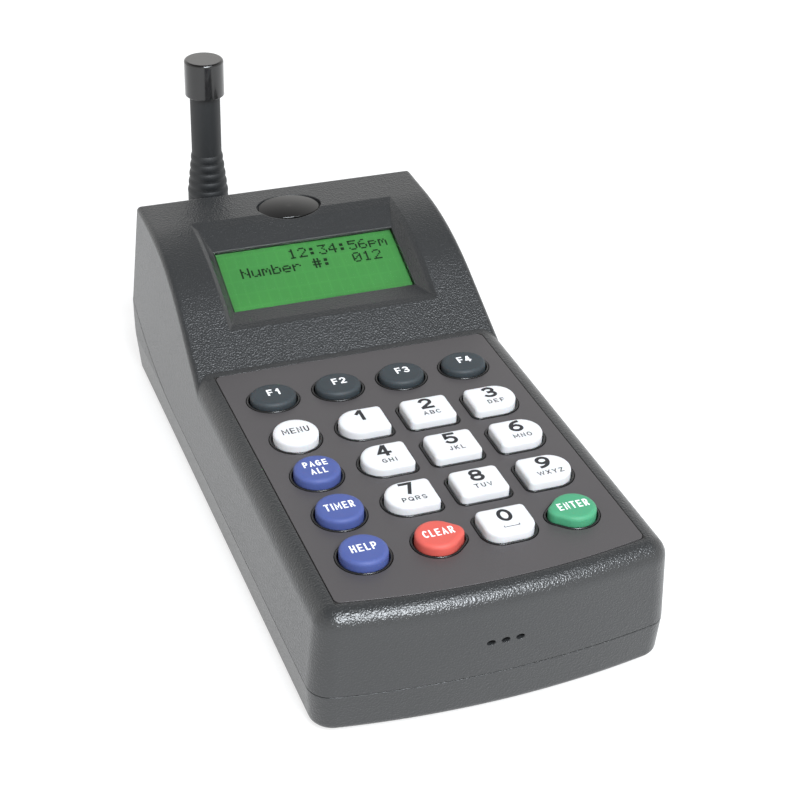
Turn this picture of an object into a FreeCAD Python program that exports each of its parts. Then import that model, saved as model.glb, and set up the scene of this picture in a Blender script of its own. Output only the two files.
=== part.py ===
import FreeCAD
import Part
import math
import os
from FreeCAD import Placement, Rotation, Vector

# A counter-top guest paging transmitter: a two-part moulded case with a keypad deck, a raised
# display head and a stub antenna on a bayonet jack at the back.
# While it is built, X runs across the keypad from its centre line, Y runs from the keypad to the
# head, and Z is height above the keypad deck. Each piece is moved to its final place when saved.
# A reach is a distance along Y from the middle of the keypad. Lengths are in millimetres and
# angles in degrees.

# Keypad: a row of oval function keys above four rows of four
column_count = 4
row_count = 4
key_pitch = 20.9
row_pitch = 20.0
first_row_reach = 29.2
function_row_gap = 22.9
round_key_radius = 6.8
oval_key_length = 14.3
oval_key_depth = 12.4
digit_key_width = 14.8
digit_key_depth = 12.2
key_corner_radius = 1.6
key_chin_radius = 4.6
drop_key_shift = 0.35
drop_key_spread = 4.55
drop_key_radius = 6.3
drop_tip_radius = 3.2
key_proud = 3.1
oval_key_proud = 2.3
key_edge_radius = 1.1
key_gap = 0.45
key_flange = 1.1
key_flange_thickness = 0.8
key_flange_gap = 0.3
key_travel = 1.1
key_stem_radius = 3.0
key_stem_length = 1.1
contact_gap = 0.2
rim_width = 0.6
rim_proud = 0.35
rim_edge_radius = 0.2

# Keypad overlay, round the keys
overlay_side_margin = 13.45
overlay_rear_margin = 18.0
overlay_front_margin = 16.5
overlay_bow = 4.1
overlay_corner_radius = 2.0
overlay_thickness = 0.5
overlay_recess = 0.4
overlay_gap = 0.2
overlay_cut_gap = 0.25

# Case outline, round the overlay
side_land = 0.6
front_land = 0.4
crease_gap = 2.7
side_draft_share = 0.068
front_bow = 4.8
rear_rake_share = 0.105
wall = 2.4
deck_height = 38.7
parting_drop = 26.6
parting_lead = 20.2
parting_rise = 12.4
parting_gap = 0.25
front_corner_radius = 7.0
rear_corner_radius = 1.0
inner_corner_radius = 0.15
deck_edge_radius = 5.5
head_edge_radius = 1.8
overrun = 6.0
pick_margin = 0.05

# Head profile
slope_angle = 29.5
slope_toe = 8.0
head_rise = 22.5
head_top_angle = 1.1
head_curve_radius = 85.0
head_rear_margin = 14.8

# Lower case
base_side_tuck = 0.81
base_front_tuck = 0.4
base_rear_tuck = 7.1
base_rear_corner_radius = 3.0
base_edge_radius = 1.8
lip_height = 1.8
lip_thickness = 1.1
lip_gap = 0.2

# Display module
view_half_width = 30.9
view_half_height = 12.6
view_shift = 0.4
bezel_side_border = 6.1
bezel_end_border = 7.4
bezel_depth = 4.6
bezel_sheet = 0.5
glass_thickness = 1.6
module_gap = 0.1
module_side_gap = 5.0
module_board_height = 60.0
module_board_drop = 3.0
module_board_gap = 4.0
board_thickness = 1.6
module_hole_inset = 3.2
display_screw_bite = 4.2

# Display window and the funnel round it, whose mouth is eased by a flare
display_tilt = 22.2
bezel_roof_gap = 0.972
window_side_border = 0.4
window_end_border = 0.3
window_land = 0.6
funnel_land = 0.3
funnel_lead = 13.0
funnel_side_run = 3.4
funnel_low_run = 9.81
funnel_high_run = 11.1
funnel_wall = 2.2
flare_run = 0.9
flare_high_run = 1.6
flare_start_share = 0.8
mouth_point_count = 9
lens_thickness = 0.8
lens_border = 3.6

# Boards and what they carry
board_side_gap = 2.5
board_front_margin = 10.2
board_rear_margin = 15.9
main_board_corner_radius = 3.0
boss_side_inset = 3.0
boss_front_inset = 5.0
boss_rear_inset = 4.0
board_boss_radius = 2.6
mat_thickness = 0.6
mat_collar_height = 0.5
mat_collar_width = 1.0
mat_gap = 0.5
radio_width = 28.0
radio_depth = 23.0
radio_height = 3.6
radio_inset = 7.0
radio_edge_radius = 0.6
cell_radius = 10.0
cell_thickness = 3.2
cell_reach = 8.0
cell_holder_wall = 1.2
cell_floor = 0.6
chip_height = 1.5
header_width = 22.0
header_depth = 5.0
header_height = 5.5
ribbon_thickness = 0.9
ribbon_width = 20.0

# Screws
screw_radius = 1.45
screw_head_radius = 2.8
screw_head_height = 2.0
screw_length = 11.0
small_screw_radius = 1.2
small_head_radius = 2.1
small_head_height = 1.4
screw_edge_share = 0.33
screw_recess_share = 0.25
screw_gap = 0.05
screw_clearance = 0.3
case_boss_radius = 3.4
case_boss_side_gap = 5.9
case_boss_board_gap = 1.2
case_boss_rear_inset = 9.5
case_post_front_rise = 4.6
case_post_rear_rise = 2.2
post_roof = 3.0

# Feet
foot_radius = 5.5
foot_thickness = 2.5
foot_proud = 1.5
foot_edge_radius = 0.5
foot_side_inset = 14.9
foot_front_inset = 22.0
foot_rear_inset = 26.0

# Sounder and its slots
slot_width = 2.6
slot_height = 1.75
slot_pitch = 4.25
slot_drop = 16.1
slot_count = 3
sounder_radius = 7.0
sounder_depth = 5.5
sounder_port_radius = 1.2
seat_gap = 0.3

# Badge
badge_lead = 5.1
badge_half_width = 10.7
badge_half_height = 7.1
badge_gap = 0.6
badge_pocket = 0.9
badge_proud = 0.75
badge_dome_radius = 62.0
badge_front_drop = 1.0
badge_edge_radius = 0.25

# Jacks on the rear wall
jack_pad_radius = 9.6
jack_pad_proud = 1.34
jack_pad_depth = 4.9
antenna_x = -18.3
jack_flange_width = 13.6
jack_flange_thickness = 1.6
jack_thread_radius = 4.7
jack_thread_length = 10.5
jack_barrel_radius = 4.85
jack_barrel_wall = 0.7
jack_barrel_length = 7.7
jack_contact_radius = 1.5
jack_tail_radius = 1.5
jack_tail_length = 3.4
lug_radius = 1.0
lug_height = 1.35
lug_setback = 3.7
nut_thickness = 2.4
washer_thickness = 0.6
washer_border = 2.6
running_gap = 0.3
pin_radius = 0.65

# Antenna
ring_skin = 1.0
ring_front_gap = 0.5
ring_end_gap = 0.4
ring_rear_gap = 0.4
ring_bore_gap = 0.3
ring_neck_length = 2.4
ring_slot_gap = 0.3
ring_unlock_angle = 45.0
ring_slot_spare_angle = 2.0
ring_flute_radius = 0.9
ring_flute_count = 16
ring_flute_share = 0.05
sleeve_wall = 0.7
neck_radius = 4.4
neck_depth = 2.6
sheath_base_radius = 7.1
sheath_foot = 7.4
sheath_foot_radius = 2.5
stem_radius = 5.25
flare_bottom = 12.0
flare_top = 28.0
rib_count = 5
rib_bulge = 0.55
rib_groove = 0.6
antenna_top = 62.7
cap_height = 12.8
cap_wall = 1.5
cap_roof = 2.2
cap_edge_radius = 0.9
cap_rim_radius = 0.3
cap_gap = 0.05
core_radius = 1.5
core_top_gap = 6.0

# Power inlet
inlet_x = 22.0
inlet_drop = 2.0
inlet_flange_radius = 6.2
inlet_flange_thickness = 1.6
inlet_edge_radius = 0.5
inlet_body_radius = 4.9
inlet_body_length = 15.0
inlet_bore_radius = 3.15
inlet_bore_depth = 9.5
inlet_pin_radius = 1.0
inlet_pin_setback = 0.8
inlet_nut_width = 14.0

# Leads inside the case
antenna_lead_radius = 0.9
power_lead_radius = 1.1
lead_low = 16.0
lead_bend_share = 0.45

# Keypad, overlay and case places that follow
last_row_reach = (row_count - 1) * row_pitch - first_row_reach
function_row_reach = first_row_reach + function_row_gap
overlay_half_width = key_pitch * (column_count - 1) / 2 + overlay_side_margin
overlay_rear_reach = function_row_reach + overlay_rear_margin
overlay_front_reach = last_row_reach + overlay_front_margin
case_half_width = overlay_half_width + deck_edge_radius + side_land
front_reach = overlay_front_reach + overlay_bow + deck_edge_radius + front_land
crease_reach = overlay_rear_reach + crease_gap
case_bottom = -deck_height

# Display and head places that follow
slope_rad = math.radians(slope_angle)
head_top_rad = math.radians(head_top_angle)
tilt_rad = math.radians(display_tilt)
window_half_width = view_half_width + window_side_border
window_half_height = view_half_height + window_end_border
window_reach = window_half_height * math.cos(tilt_rad)
funnel_half_width = window_half_width + funnel_side_run
funnel_low_reach = crease_reach + funnel_lead
display_reach = funnel_low_reach + funnel_low_run + window_reach
funnel_high_reach = display_reach + window_reach + funnel_high_run
badge_reach = funnel_high_reach + badge_lead
rear_reach = badge_reach + head_rear_margin
rear_normal = math.hypot(1.0, rear_rake_share)
bezel_half_width = view_half_width + bezel_side_border
bezel_half_height = view_half_height + bezel_end_border
bezel_top = -lens_thickness - module_gap
glass_top = bezel_top - bezel_sheet
module_board_top = bezel_top - bezel_depth - module_board_gap
module_board_width = 2 * (case_half_width - wall - module_side_gap)

# Parting line and lower case places that follow
parting_start = crease_reach + parting_lead
parting_rear_level = parting_rise - parting_drop
parting_rear_reach = rear_reach + rear_rake_share * (head_rise - parting_rear_level)
parting_run = parting_rear_reach - parting_start
parting_radius = (parting_run ** 2 + parting_rise ** 2) / (2 * parting_rise)
base_half_width = case_half_width + side_draft_share * parting_drop - base_side_tuck
base_front_reach = front_reach - base_front_tuck
base_rear_reach = parting_rear_reach - base_rear_tuck
foot_x = base_half_width - foot_side_inset
foot_front_reach = base_front_reach - foot_front_inset
foot_rear_reach = base_rear_reach - foot_rear_inset

# Board and boss places that follow
deck_under = -wall
flange_top = deck_under - key_flange_gap
flange_bottom = flange_top - key_flange_thickness
stem_bottom = flange_bottom - key_stem_length
board_top = stem_bottom - key_travel - contact_gap
board_bottom = board_top - board_thickness
main_board_half_width = case_half_width - wall - board_side_gap
main_board_front = last_row_reach + board_front_margin
main_board_rear = function_row_reach + board_rear_margin
radio_rear = main_board_rear - radio_inset
board_boss_x = main_board_half_width - boss_side_inset
board_boss_front = main_board_front - boss_front_inset
board_boss_rear = main_board_rear - boss_rear_inset
case_boss_x = case_half_width - wall - case_boss_side_gap
case_boss_front = main_board_front + case_boss_radius + case_boss_board_gap
case_boss_rear = rear_reach - case_boss_rear_inset
case_post_top_front = parting_drop - case_post_front_rise
case_post_top_rear = parting_drop - parting_rise - case_post_rear_rise

# Jack and antenna places that follow
jack_pad_outer = rear_reach + rear_rake_share * head_rise + jack_pad_proud
jack_pad_inner = jack_pad_outer - jack_pad_depth
barrel_start = jack_pad_outer + jack_flange_thickness
barrel_end = barrel_start + jack_barrel_length
lug_reach = jack_barrel_radius + lug_height
ring_radius = lug_reach + ring_slot_gap + ring_skin
ring_front = barrel_start + ring_front_gap
ring_step = barrel_end + ring_end_gap
ring_rear = ring_step + ring_neck_length
antenna_y = ring_rear + ring_rear_gap + sheath_base_radius
cap_radius = stem_radius + cap_gap + cap_wall
antenna_centre = Vector(antenna_x, 0, 0)
inlet_centre = Vector(inlet_x, 0, -inlet_drop)

# The finished part stands on its feet, with its origin under its middle
middle_y = (antenna_y + sheath_base_radius - front_reach) / 2
origin_shift = Vector(0, -middle_y, deck_height + foot_proud)


# Small helpers
def face_of(edges):
    return Part.Face(Part.Wire(edges))


def polygon_face(points):
    return Part.Face(Part.makePolygon(points + points[:1]))


def box(low, high):
    size = high - low
    return Part.makeBox(size.x, size.y, size.z, low)


def cylinder(radius, start, end):
    run = end - start
    return Part.makeCylinder(radius, run.Length, start, run)


def hexagon(across_flats, start, end):
    run = end - start
    circle_radius = across_flats / 2 / math.cos(math.radians(30))
    corners = [Vector(start.x + circle_radius * math.cos(math.radians(turn)), start.y,
                      start.z + circle_radius * math.sin(math.radians(turn)))
               for turn in range(30, 390, 60)]
    return polygon_face(corners).extrude(run)


def line(start, end):
    return Part.LineSegment(start, end).toShape()


def arc(start, middle, end):
    return Part.Arc(start, middle, end).toShape()


def side_profile(edges, half_width):
    profile = face_of(edges)
    profile.translate(Vector(-half_width, 0, 0))
    return profile.extrude(Vector(2 * half_width, 0, 0))


def fillet_where(solid, radius, wanted):
    edges = [edge for edge in solid.Edges if wanted(edge)]
    return solid.makeFillet(radius, edges)


def clean(shape):
    merged = shape.removeSplitter()
    if not merged.isValid():
        merged = shape
    if len(merged.Solids) == 1:
        return merged.Solids[0]
    return merged


def save(name, shape):
    placed = clean(shape).copy()
    placed.translate(origin_shift)
    placed.exportStep("parts/" + name + ".step")


# The head's top line, its slope and the curve between them, in Y and Z
def line_meet(point, direction, other, other_direction):
    cross = direction.y * other_direction.z - direction.z * other_direction.y
    gap = other - point
    along = (gap.y * other_direction.z - gap.z * other_direction.y) / cross
    return point + direction * along


def head_points(inset):
    down = Vector(0, math.cos(slope_rad), math.sin(slope_rad))
    across = Vector(0, math.cos(head_top_rad), math.sin(head_top_rad))
    crease = Vector(0, crease_reach, 0) + Vector(0, down.z, -down.y) * inset
    top = Vector(0, rear_reach, head_rise) + Vector(0, across.z, -across.y) * inset
    corner = line_meet(crease, down, top, across)
    half_turn = (slope_rad - head_top_rad) / 2
    radius = head_curve_radius - inset
    tangent = radius * math.tan(half_turn)
    curve_start = corner - down * tangent
    curve_end = corner + across * tangent
    inward = Vector(0, down.z + across.z, -(down.y + across.y)).normalize()
    centre = corner + inward * (radius / math.cos(half_turn))
    curve_middle = centre - inward * radius
    rear_step = Vector(0, -inset * rear_normal, 0)
    rear_line = Vector(0, rear_rake_share, -1.0)
    rear_top = line_meet(top, across, Vector(0, rear_reach, head_rise) + rear_step, rear_line)
    return crease, down, curve_start, curve_middle, curve_end, rear_top, rear_line


def head_height(y):
    crease, down, start, middle, end, rear_top, rear_line = head_points(0)
    if y <= start.y:
        return (y - crease.y) * math.tan(slope_rad)
    if y >= end.y:
        return rear_top.z - (rear_top.y - y) * math.tan(head_top_rad)
    centre = start + Vector(0, down.z, -down.y) * head_curve_radius
    return centre.z + math.sqrt(head_curve_radius ** 2 - (y - centre.y) ** 2)


# The case as a solid, moved in by inset from its outer faces
def side_planes(inset, high, low, front, rear):
    reach = case_half_width - inset
    points = [Vector(-(reach - side_draft_share * high), front, high),
              Vector(reach - side_draft_share * high, front, high),
              Vector(reach - side_draft_share * low, front, low),
              Vector(-(reach - side_draft_share * low), front, low)]
    return polygon_face(points).extrude(Vector(0, rear - front, 0))


def front_outline(inset, reach, rear, low, high):
    side = case_half_width + overrun
    nose = -(reach - inset)
    bow = front_bow * (side / case_half_width) ** 2
    edges = [arc(Vector(-side, nose + bow, low), Vector(0, nose, low), Vector(side, nose + bow, low)),
             line(Vector(side, nose + bow, low), Vector(side, rear, low)),
             line(Vector(side, rear, low), Vector(-side, rear, low)),
             line(Vector(-side, rear, low), Vector(-side, nose + bow, low))]
    return face_of(edges).extrude(Vector(0, 0, high - low))


def is_upright(edge):
    first = edge.Vertexes[0].Point
    last = edge.Vertexes[-1].Point
    return abs(first.z - last.z) > edge.Length / 2


def deck_body(inset):
    rear = crease_reach + deck_height
    low = case_bottom - overrun
    planes = side_planes(inset, -inset, low, -front_reach - overrun, rear)
    body = planes.common(front_outline(inset, front_reach, rear, low, overrun))
    corner = front_corner_radius - inset
    body = fillet_where(body, corner, lambda edge: is_upright(edge) and edge.BoundBox.YMax < 0)
    edge_radius = deck_edge_radius - inset

    def on_top(edge):
        box_of = edge.BoundBox
        return box_of.ZMin > -inset - pick_margin and box_of.YMin < rear - pick_margin
    return fillet_where(body, edge_radius, on_top)


def head_body(inset):
    crease, down, curve_start, curve_middle, curve_end, rear_top, rear_line = head_points(inset)
    low = case_bottom - overrun
    toe = crease - down * ((slope_toe + crease.z) / down.z)
    rear_low = rear_top + rear_line * (rear_top.z - low)
    front_low = Vector(0, toe.y, low)
    edges = [line(toe, curve_start), arc(curve_start, curve_middle, curve_end),
             line(curve_end, rear_top), line(rear_top, rear_low),
             line(rear_low, front_low), line(front_low, toe)]
    body = side_profile(edges, case_half_width + overrun)
    high = head_rise + overrun
    planes = side_planes(inset, high, low, toe.y - overrun, rear_low.y + overrun)
    body = body.common(planes)

    def at_rear_corner(edge):
        return is_upright(edge) and edge.BoundBox.YMin > rear_top.y - pick_margin
    body = fillet_where(body, max(rear_corner_radius - inset, inner_corner_radius), at_rear_corner)
    if inset > 0:
        return body

    def on_rim(edge):
        box_of = edge.BoundBox
        along_width = box_of.XLength > case_half_width
        if along_width:
            return box_of.YMin > rear_top.y - rear_corner_radius and box_of.ZMin > 0
        at_toe = is_upright(edge) and box_of.YMax < toe.y + pick_margin
        return box_of.ZMin > toe.z - overrun / 2 and not at_toe
    return fillet_where(body, head_edge_radius, on_rim)


def case_solid(inset):
    return deck_body(inset).fuse(head_body(inset))


# Everything below the parting line, lowered by drop
def below_parting(drop):
    level = -parting_drop - drop
    side = case_half_width + overrun * 2
    far = parting_rear_reach + 2 * overrun
    centre = Vector(0, parting_start, level + parting_radius)
    turn = math.asin((far - parting_start) / parting_radius)
    middle = centre + Vector(0, math.sin(turn / 2), -math.cos(turn / 2)) * parting_radius
    end = centre + Vector(0, math.sin(turn), -math.cos(turn)) * parting_radius
    start = Vector(0, parting_start, level)
    near = Vector(0, -front_reach - overrun, level)
    floor = case_bottom - 2 * overrun
    edges = [line(near, start), arc(start, middle, end),
             line(end, Vector(0, end.y, floor)),
             line(Vector(0, end.y, floor), Vector(0, near.y, floor)),
             line(Vector(0, near.y, floor), near)]
    return side_profile(edges, side)


# Key outlines, each grown outwards by grow, centred on the key
def rounded_outline(half_width, half_depth, radii, grow):
    width = half_width + grow
    depth = half_depth + grow
    signs = [(1, 1), (-1, 1), (-1, -1), (1, -1)]
    points = []
    for (sx, sy), corner in zip(signs, radii):
        radius = corner + grow
        centre = Vector(sx * (width - radius), sy * (depth - radius), 0)
        flat = Vector(sx * radius, 0, 0)
        deep = Vector(0, sy * radius, 0)
        middle = centre + (flat + deep) / math.sqrt(2)
        pair = [centre + flat, middle, centre + deep]
        points.append(pair if sx * sy > 0 else pair[::-1])
    edges = []
    for index, corner in enumerate(points):
        edges.append(arc(*corner))
        following = points[(index + 1) % len(points)]
        if (following[0] - corner[2]).Length > pick_margin:
            edges.append(line(corner[2], following[0]))
    return Part.Wire(edges)


def square_outline(grow):
    radii = [key_corner_radius] * 4
    return rounded_outline(digit_key_width / 2, digit_key_depth / 2, radii, grow)


def left_round_outline(grow):
    half = digit_key_depth / 2
    radii = [key_corner_radius, half, half, key_corner_radius]
    return rounded_outline(digit_key_width / 2, half, radii, grow)


def right_round_outline(grow):
    half = digit_key_depth / 2
    radii = [half, key_corner_radius, key_corner_radius, half]
    return rounded_outline(digit_key_width / 2, half, radii, grow)


def chin_outline(grow):
    radii = [key_corner_radius, key_corner_radius, key_chin_radius, key_chin_radius]
    return rounded_outline(digit_key_width / 2, digit_key_depth / 2, radii, grow)


def circle_outline(grow):
    return Part.Wire(Part.makeCircle(round_key_radius + grow))


def oval_outline(grow):
    ellipse = Part.Ellipse(Vector(0, 0, 0), oval_key_length / 2 + grow, oval_key_depth / 2 + grow)
    return Part.Wire(ellipse.toShape())


def drop_outline(grow, side):
    big = drop_key_radius + grow
    tip = drop_tip_radius + grow
    big_x = side * drop_key_shift
    tip_x = big_x + side * drop_key_spread
    rise = math.acos((big - tip) / drop_key_spread)
    up = Vector(side * math.cos(rise), math.sin(rise), 0)
    down = Vector(side * math.cos(rise), -math.sin(rise), 0)
    big_centre = Vector(big_x, 0, 0)
    tip_centre = Vector(tip_x, 0, 0)
    out = Vector(side, 0, 0)
    edges = [arc(big_centre + up * big, big_centre - out * big, big_centre + down * big),
             line(big_centre + down * big, tip_centre + down * tip),
             arc(tip_centre + down * tip, tip_centre + out * tip, tip_centre + up * tip),
             line(tip_centre + up * tip, big_centre + up * big)]
    return Part.Wire(edges)


def right_drop_outline(grow):
    return drop_outline(grow, 1)


def left_drop_outline(grow):
    return drop_outline(grow, -1)


# Each key: its name, its column, its row and its outline. Row 0 is the row of function keys.
keys = [("key_f1", 0, 0, oval_outline), ("key_f2", 1, 0, oval_outline),
        ("key_f3", 2, 0, oval_outline), ("key_f4", 3, 0, oval_outline),
        ("key_side_1", 0, 1, circle_outline), ("key_1", 1, 1, left_round_outline),
        ("key_2", 2, 1, square_outline), ("key_3", 3, 1, right_round_outline),
        ("key_side_2", 0, 2, circle_outline), ("key_4", 1, 2, left_round_outline),
        ("key_5", 2, 2, square_outline), ("key_6", 3, 2, right_round_outline),
        ("key_side_3", 0, 3, circle_outline), ("key_7", 1, 3, left_round_outline),
        ("key_8", 2, 3, square_outline), ("key_9", 3, 3, right_round_outline),
        ("key_side_4", 0, 4, circle_outline), ("key_clear", 1, 4, right_drop_outline),
        ("key_0", 2, 4, chin_outline), ("key_enter", 3, 4, left_drop_outline)]


def key_place(column, row):
    x = (column - (column_count - 1) / 2) * key_pitch
    y = function_row_reach if row == 0 else first_row_reach - (row - 1) * row_pitch
    return Vector(x, y, 0)


def key_prism(outline, grow, place, low, high):
    face = Part.Face(outline(grow))
    face.translate(Vector(place.x, place.y, low))
    return face.extrude(Vector(0, 0, high - low))


def key_prisms(grow, low, high):
    return [key_prism(outline, grow, key_place(column, row), low, high)
            for name, column, row, outline in keys]


def key(column, row, outline):
    place = key_place(column, row)
    proud = oval_key_proud if row == 0 else key_proud
    cap = key_prism(outline, 0, place, flange_top, proud)
    cap = fillet_where(cap, key_edge_radius, lambda edge: edge.BoundBox.ZMin > proud - pick_margin)
    flange = key_prism(outline, key_flange, place, flange_bottom, flange_top)
    stem = cylinder(key_stem_radius, place + Vector(0, 0, stem_bottom),
                    place + Vector(0, 0, flange_bottom))
    return cap.fuse([flange, stem])


# The printed panel round the keys
def overlay_face(grow, level):
    side = overlay_half_width + grow
    top = overlay_rear_reach + grow
    bottom = -overlay_front_reach - grow
    radius = overlay_corner_radius
    slant = radius / math.sqrt(2)
    low_middle = Vector(0, bottom - overlay_bow, level)
    chord = Part.Arc(Vector(-side + radius, bottom, level), low_middle,
                     Vector(side - radius, bottom, level))
    low_left = Vector(-side + radius, bottom, level)
    low_right = Vector(side - radius, bottom, level)
    edges = [chord.toShape(),
             arc(low_right, Vector(side - radius + slant, bottom + radius - slant, level),
                 Vector(side, bottom + radius, level)),
             line(Vector(side, bottom + radius, level), Vector(side, top - radius, level)),
             arc(Vector(side, top - radius, level),
                 Vector(side - radius + slant, top - radius + slant, level),
                 Vector(side - radius, top, level)),
             line(Vector(side - radius, top, level), Vector(-side + radius, top, level)),
             arc(Vector(-side + radius, top, level),
                 Vector(-side + radius - slant, top - radius + slant, level),
                 Vector(-side, top - radius, level)),
             line(Vector(-side, top - radius, level), Vector(-side, bottom + radius, level)),
             arc(Vector(-side, bottom + radius, level),
                 Vector(-side + radius - slant, bottom + radius - slant, level), low_left)]
    return face_of(edges)


def overlay_cut_grow():
    return key_gap + rim_width + overlay_cut_gap


def keypad_overlay():
    sheet = overlay_face(0, -overlay_recess).extrude(Vector(0, 0, overlay_thickness))
    return sheet.cut(key_prisms(overlay_cut_grow(), -overlay_recess - overrun, overrun))


# The display stands in its own tilted frame: x across, y up the slope, z out of the glass
# Its height leaves a gap between the rear edge of its bezel and the roof of the head
def display_height():
    up = bezel_half_height + 2 * view_shift
    rear = display_reach + up * math.cos(tilt_rad) - bezel_top * math.sin(tilt_rad)
    roof = head_height(rear) - wall - bezel_roof_gap
    return roof - up * math.sin(tilt_rad) - bezel_top * math.cos(tilt_rad)


display_frame = Placement(Vector(0, display_reach, display_height()),
                          Rotation(Vector(1, 0, 0), display_tilt))


def tilted(shape):
    placed = shape.copy()
    placed.Placement = display_frame.multiply(placed.Placement)
    return placed


def to_display(point):
    return display_frame.inverse().multVec(point)


def window_wire(level):
    corners = [Vector(-window_half_width, -window_half_height, level),
               Vector(window_half_width, -window_half_height, level),
               Vector(window_half_width, window_half_height, level),
               Vector(-window_half_width, window_half_height, level)]
    return Part.Wire([line(corners[i], corners[(i + 1) % 4]) for i in range(4)])


# Points up the right side of the funnel's mouth, on the head's surface, and of the window
def mouth_side(x, low, high, lift):
    points = []
    for index in range(mouth_point_count):
        y = low + (high - low) * index / (mouth_point_count - 1)
        points.append(to_display(Vector(x, y, head_height(y))) + Vector(0, 0, lift))
    return points


def window_side(x, level):
    return [Vector(x, window_half_height * (2 * index / (mouth_point_count - 1) - 1), level)
            for index in range(mouth_point_count)]


def curve_through(points):
    curve = Part.BSplineCurve()
    curve.interpolate(points)
    return curve.toShape()


def ring_of(right):
    left = [Vector(-point.x, point.y, point.z) for point in right]
    return Part.Wire([line(left[0], right[0]), curve_through(right),
                      line(right[-1], left[-1]), curve_through(left[::-1])])


def raised(points):
    return [Vector(point.x, point.y, head_rise) for point in points]


# The walls rise from the window to where the flare starts, and the flare eases the mouth's edge
def funnel():
    level = window_land + funnel_land
    bottom = window_side(window_half_width, level)
    mouth = mouth_side(funnel_half_width, funnel_low_reach, funnel_high_reach, 0)
    start = [low + (high - low) * flare_start_share for low, high in zip(bottom, mouth)]
    rim = mouth_side(funnel_half_width + flare_run, funnel_low_reach - flare_run,
                     funnel_high_reach + flare_high_run, pick_margin)
    sections = [window_wire(level), ring_of(start), ring_of(rim), ring_of(raised(rim))]
    return tilted(Part.makeLoft(sections, True, True))


def funnel_jacket(outer):
    reach = funnel_half_width + funnel_wall
    low = to_display(Vector(0, funnel_low_reach, head_height(funnel_low_reach))).y - funnel_wall
    high = to_display(Vector(0, funnel_high_reach, head_height(funnel_high_reach))).y + funnel_wall
    block = box(Vector(-reach, low, 0), Vector(reach, high, head_rise))
    return tilted(block).common(outer)


def window_hole():
    return tilted(box(Vector(-window_half_width, -window_half_height, -overrun),
                      Vector(window_half_width, window_half_height, window_land + funnel_land)))


# Display posts stand on the case behind the module's corner holes
def module_holes():
    x = module_board_width / 2 - module_hole_inset
    high = module_board_height / 2 - module_hole_inset
    return [Vector(sx * x, sy * high - module_board_drop, 0) for sx in (-1, 1) for sy in (-1, 1)]


def display_posts(outer):
    posts = [tilted(cylinder(board_boss_radius, spot + Vector(0, 0, module_board_top),
                             spot + Vector(0, 0, head_rise))) for spot in module_holes()]
    return [post.common(outer) for post in posts]


def display_post_holes():
    top = module_board_top + display_screw_bite
    return [tilted(cylinder(small_screw_radius + screw_gap,
                            spot + Vector(0, 0, module_board_top - overrun),
                            spot + Vector(0, 0, top))) for spot in module_holes()]


# Bosses for the board screws and for the screws that hold the two halves together
def board_holes():
    return [Vector(sx * board_boss_x, y, 0) for sx in (-1, 1)
            for y in (-board_boss_front, board_boss_rear)]


def case_holes():
    return [(Vector(sx * case_boss_x, y, 0), top) for sx in (-1, 1)
            for y, top in ((-case_boss_front, case_post_top_front),
                           (case_boss_rear, case_post_top_rear))]


def upper_bosses(outer):
    bosses = [cylinder(board_boss_radius, spot + Vector(0, 0, board_top),
                       spot + Vector(0, 0, -screw_gap)) for spot in board_holes()]
    for spot, top in case_holes():
        boss = cylinder(case_boss_radius, spot + Vector(0, 0, -top), spot + Vector(0, 0, head_rise))
        bosses.append(boss.common(outer))
    return [boss.common(outer) for boss in bosses]


def upper_boss_holes():
    roof = deck_under + wall / 2
    holes = [cylinder(small_screw_radius + screw_gap, spot + Vector(0, 0, board_top - overrun),
                      spot + Vector(0, 0, roof)) for spot in board_holes()]
    for spot, top in case_holes():
        end = screw_length - post_roof - top + screw_clearance
        holes.append(cylinder(screw_radius + screw_gap, spot + Vector(0, 0, -top - overrun),
                              spot + Vector(0, 0, end)))
    return holes


def jack_pads():
    return [cylinder(jack_pad_radius, centre + Vector(0, jack_pad_inner, 0),
                     centre + Vector(0, jack_pad_outer, 0))
            for centre in (antenna_centre, inlet_centre)]


def jack_holes():
    return [cylinder(radius + screw_gap, centre + Vector(0, jack_pad_inner - overrun, 0),
                     centre + Vector(0, jack_pad_outer + overrun, 0))
            for radius, centre in ((jack_thread_radius, antenna_centre),
                                   (inlet_body_radius, inlet_centre))]


def sound_slots():
    slots = []
    for index in range(slot_count):
        x = (index - (slot_count - 1) / 2) * slot_pitch
        ellipse = Part.Ellipse(Vector(0, 0, 0), slot_width / 2, slot_height / 2)
        face = Part.Face(Part.Wire(ellipse.toShape()))
        face.rotate(Vector(0, 0, 0), Vector(1, 0, 0), 90)
        face.translate(Vector(x, -front_reach - overrun, -slot_drop))
        slots.append(face.extrude(Vector(0, 2 * overrun, 0)))
    return slots


def sounder_place():
    return Vector(0, -front_reach + wall + seat_gap, -slot_drop)


def sounder_cradle(outer):
    start = sounder_place()
    length = sounder_depth / 2
    outside = cylinder(sounder_radius + seat_gap + wall / 2, start - Vector(0, wall + seat_gap, 0),
                       start + Vector(0, length, 0))
    inside = cylinder(sounder_radius + seat_gap, start - Vector(0, seat_gap, 0),
                      start + Vector(0, length + overrun, 0))
    return outside.cut(inside).common(outer)


# The badge sits square to the head's surface at its centre
def badge_frame():
    front = head_height(badge_reach - badge_half_height) - badge_front_drop
    back = head_height(badge_reach + badge_half_height)
    lean = math.degrees(math.atan2(back - front, 2 * badge_half_height))
    return Placement(Vector(0, badge_reach, (front + back) / 2), Rotation(Vector(1, 0, 0), lean))


def badge_prism(grow, low, high):
    ellipse = Part.Ellipse(Vector(0, 0, low), badge_half_width + grow, badge_half_height + grow)
    return Part.Face(Part.Wire(ellipse.toShape())).extrude(Vector(0, 0, high - low))


def at_badge(shape):
    placed = shape.copy()
    placed.Placement = badge_frame().multiply(placed.Placement)
    return placed


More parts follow.
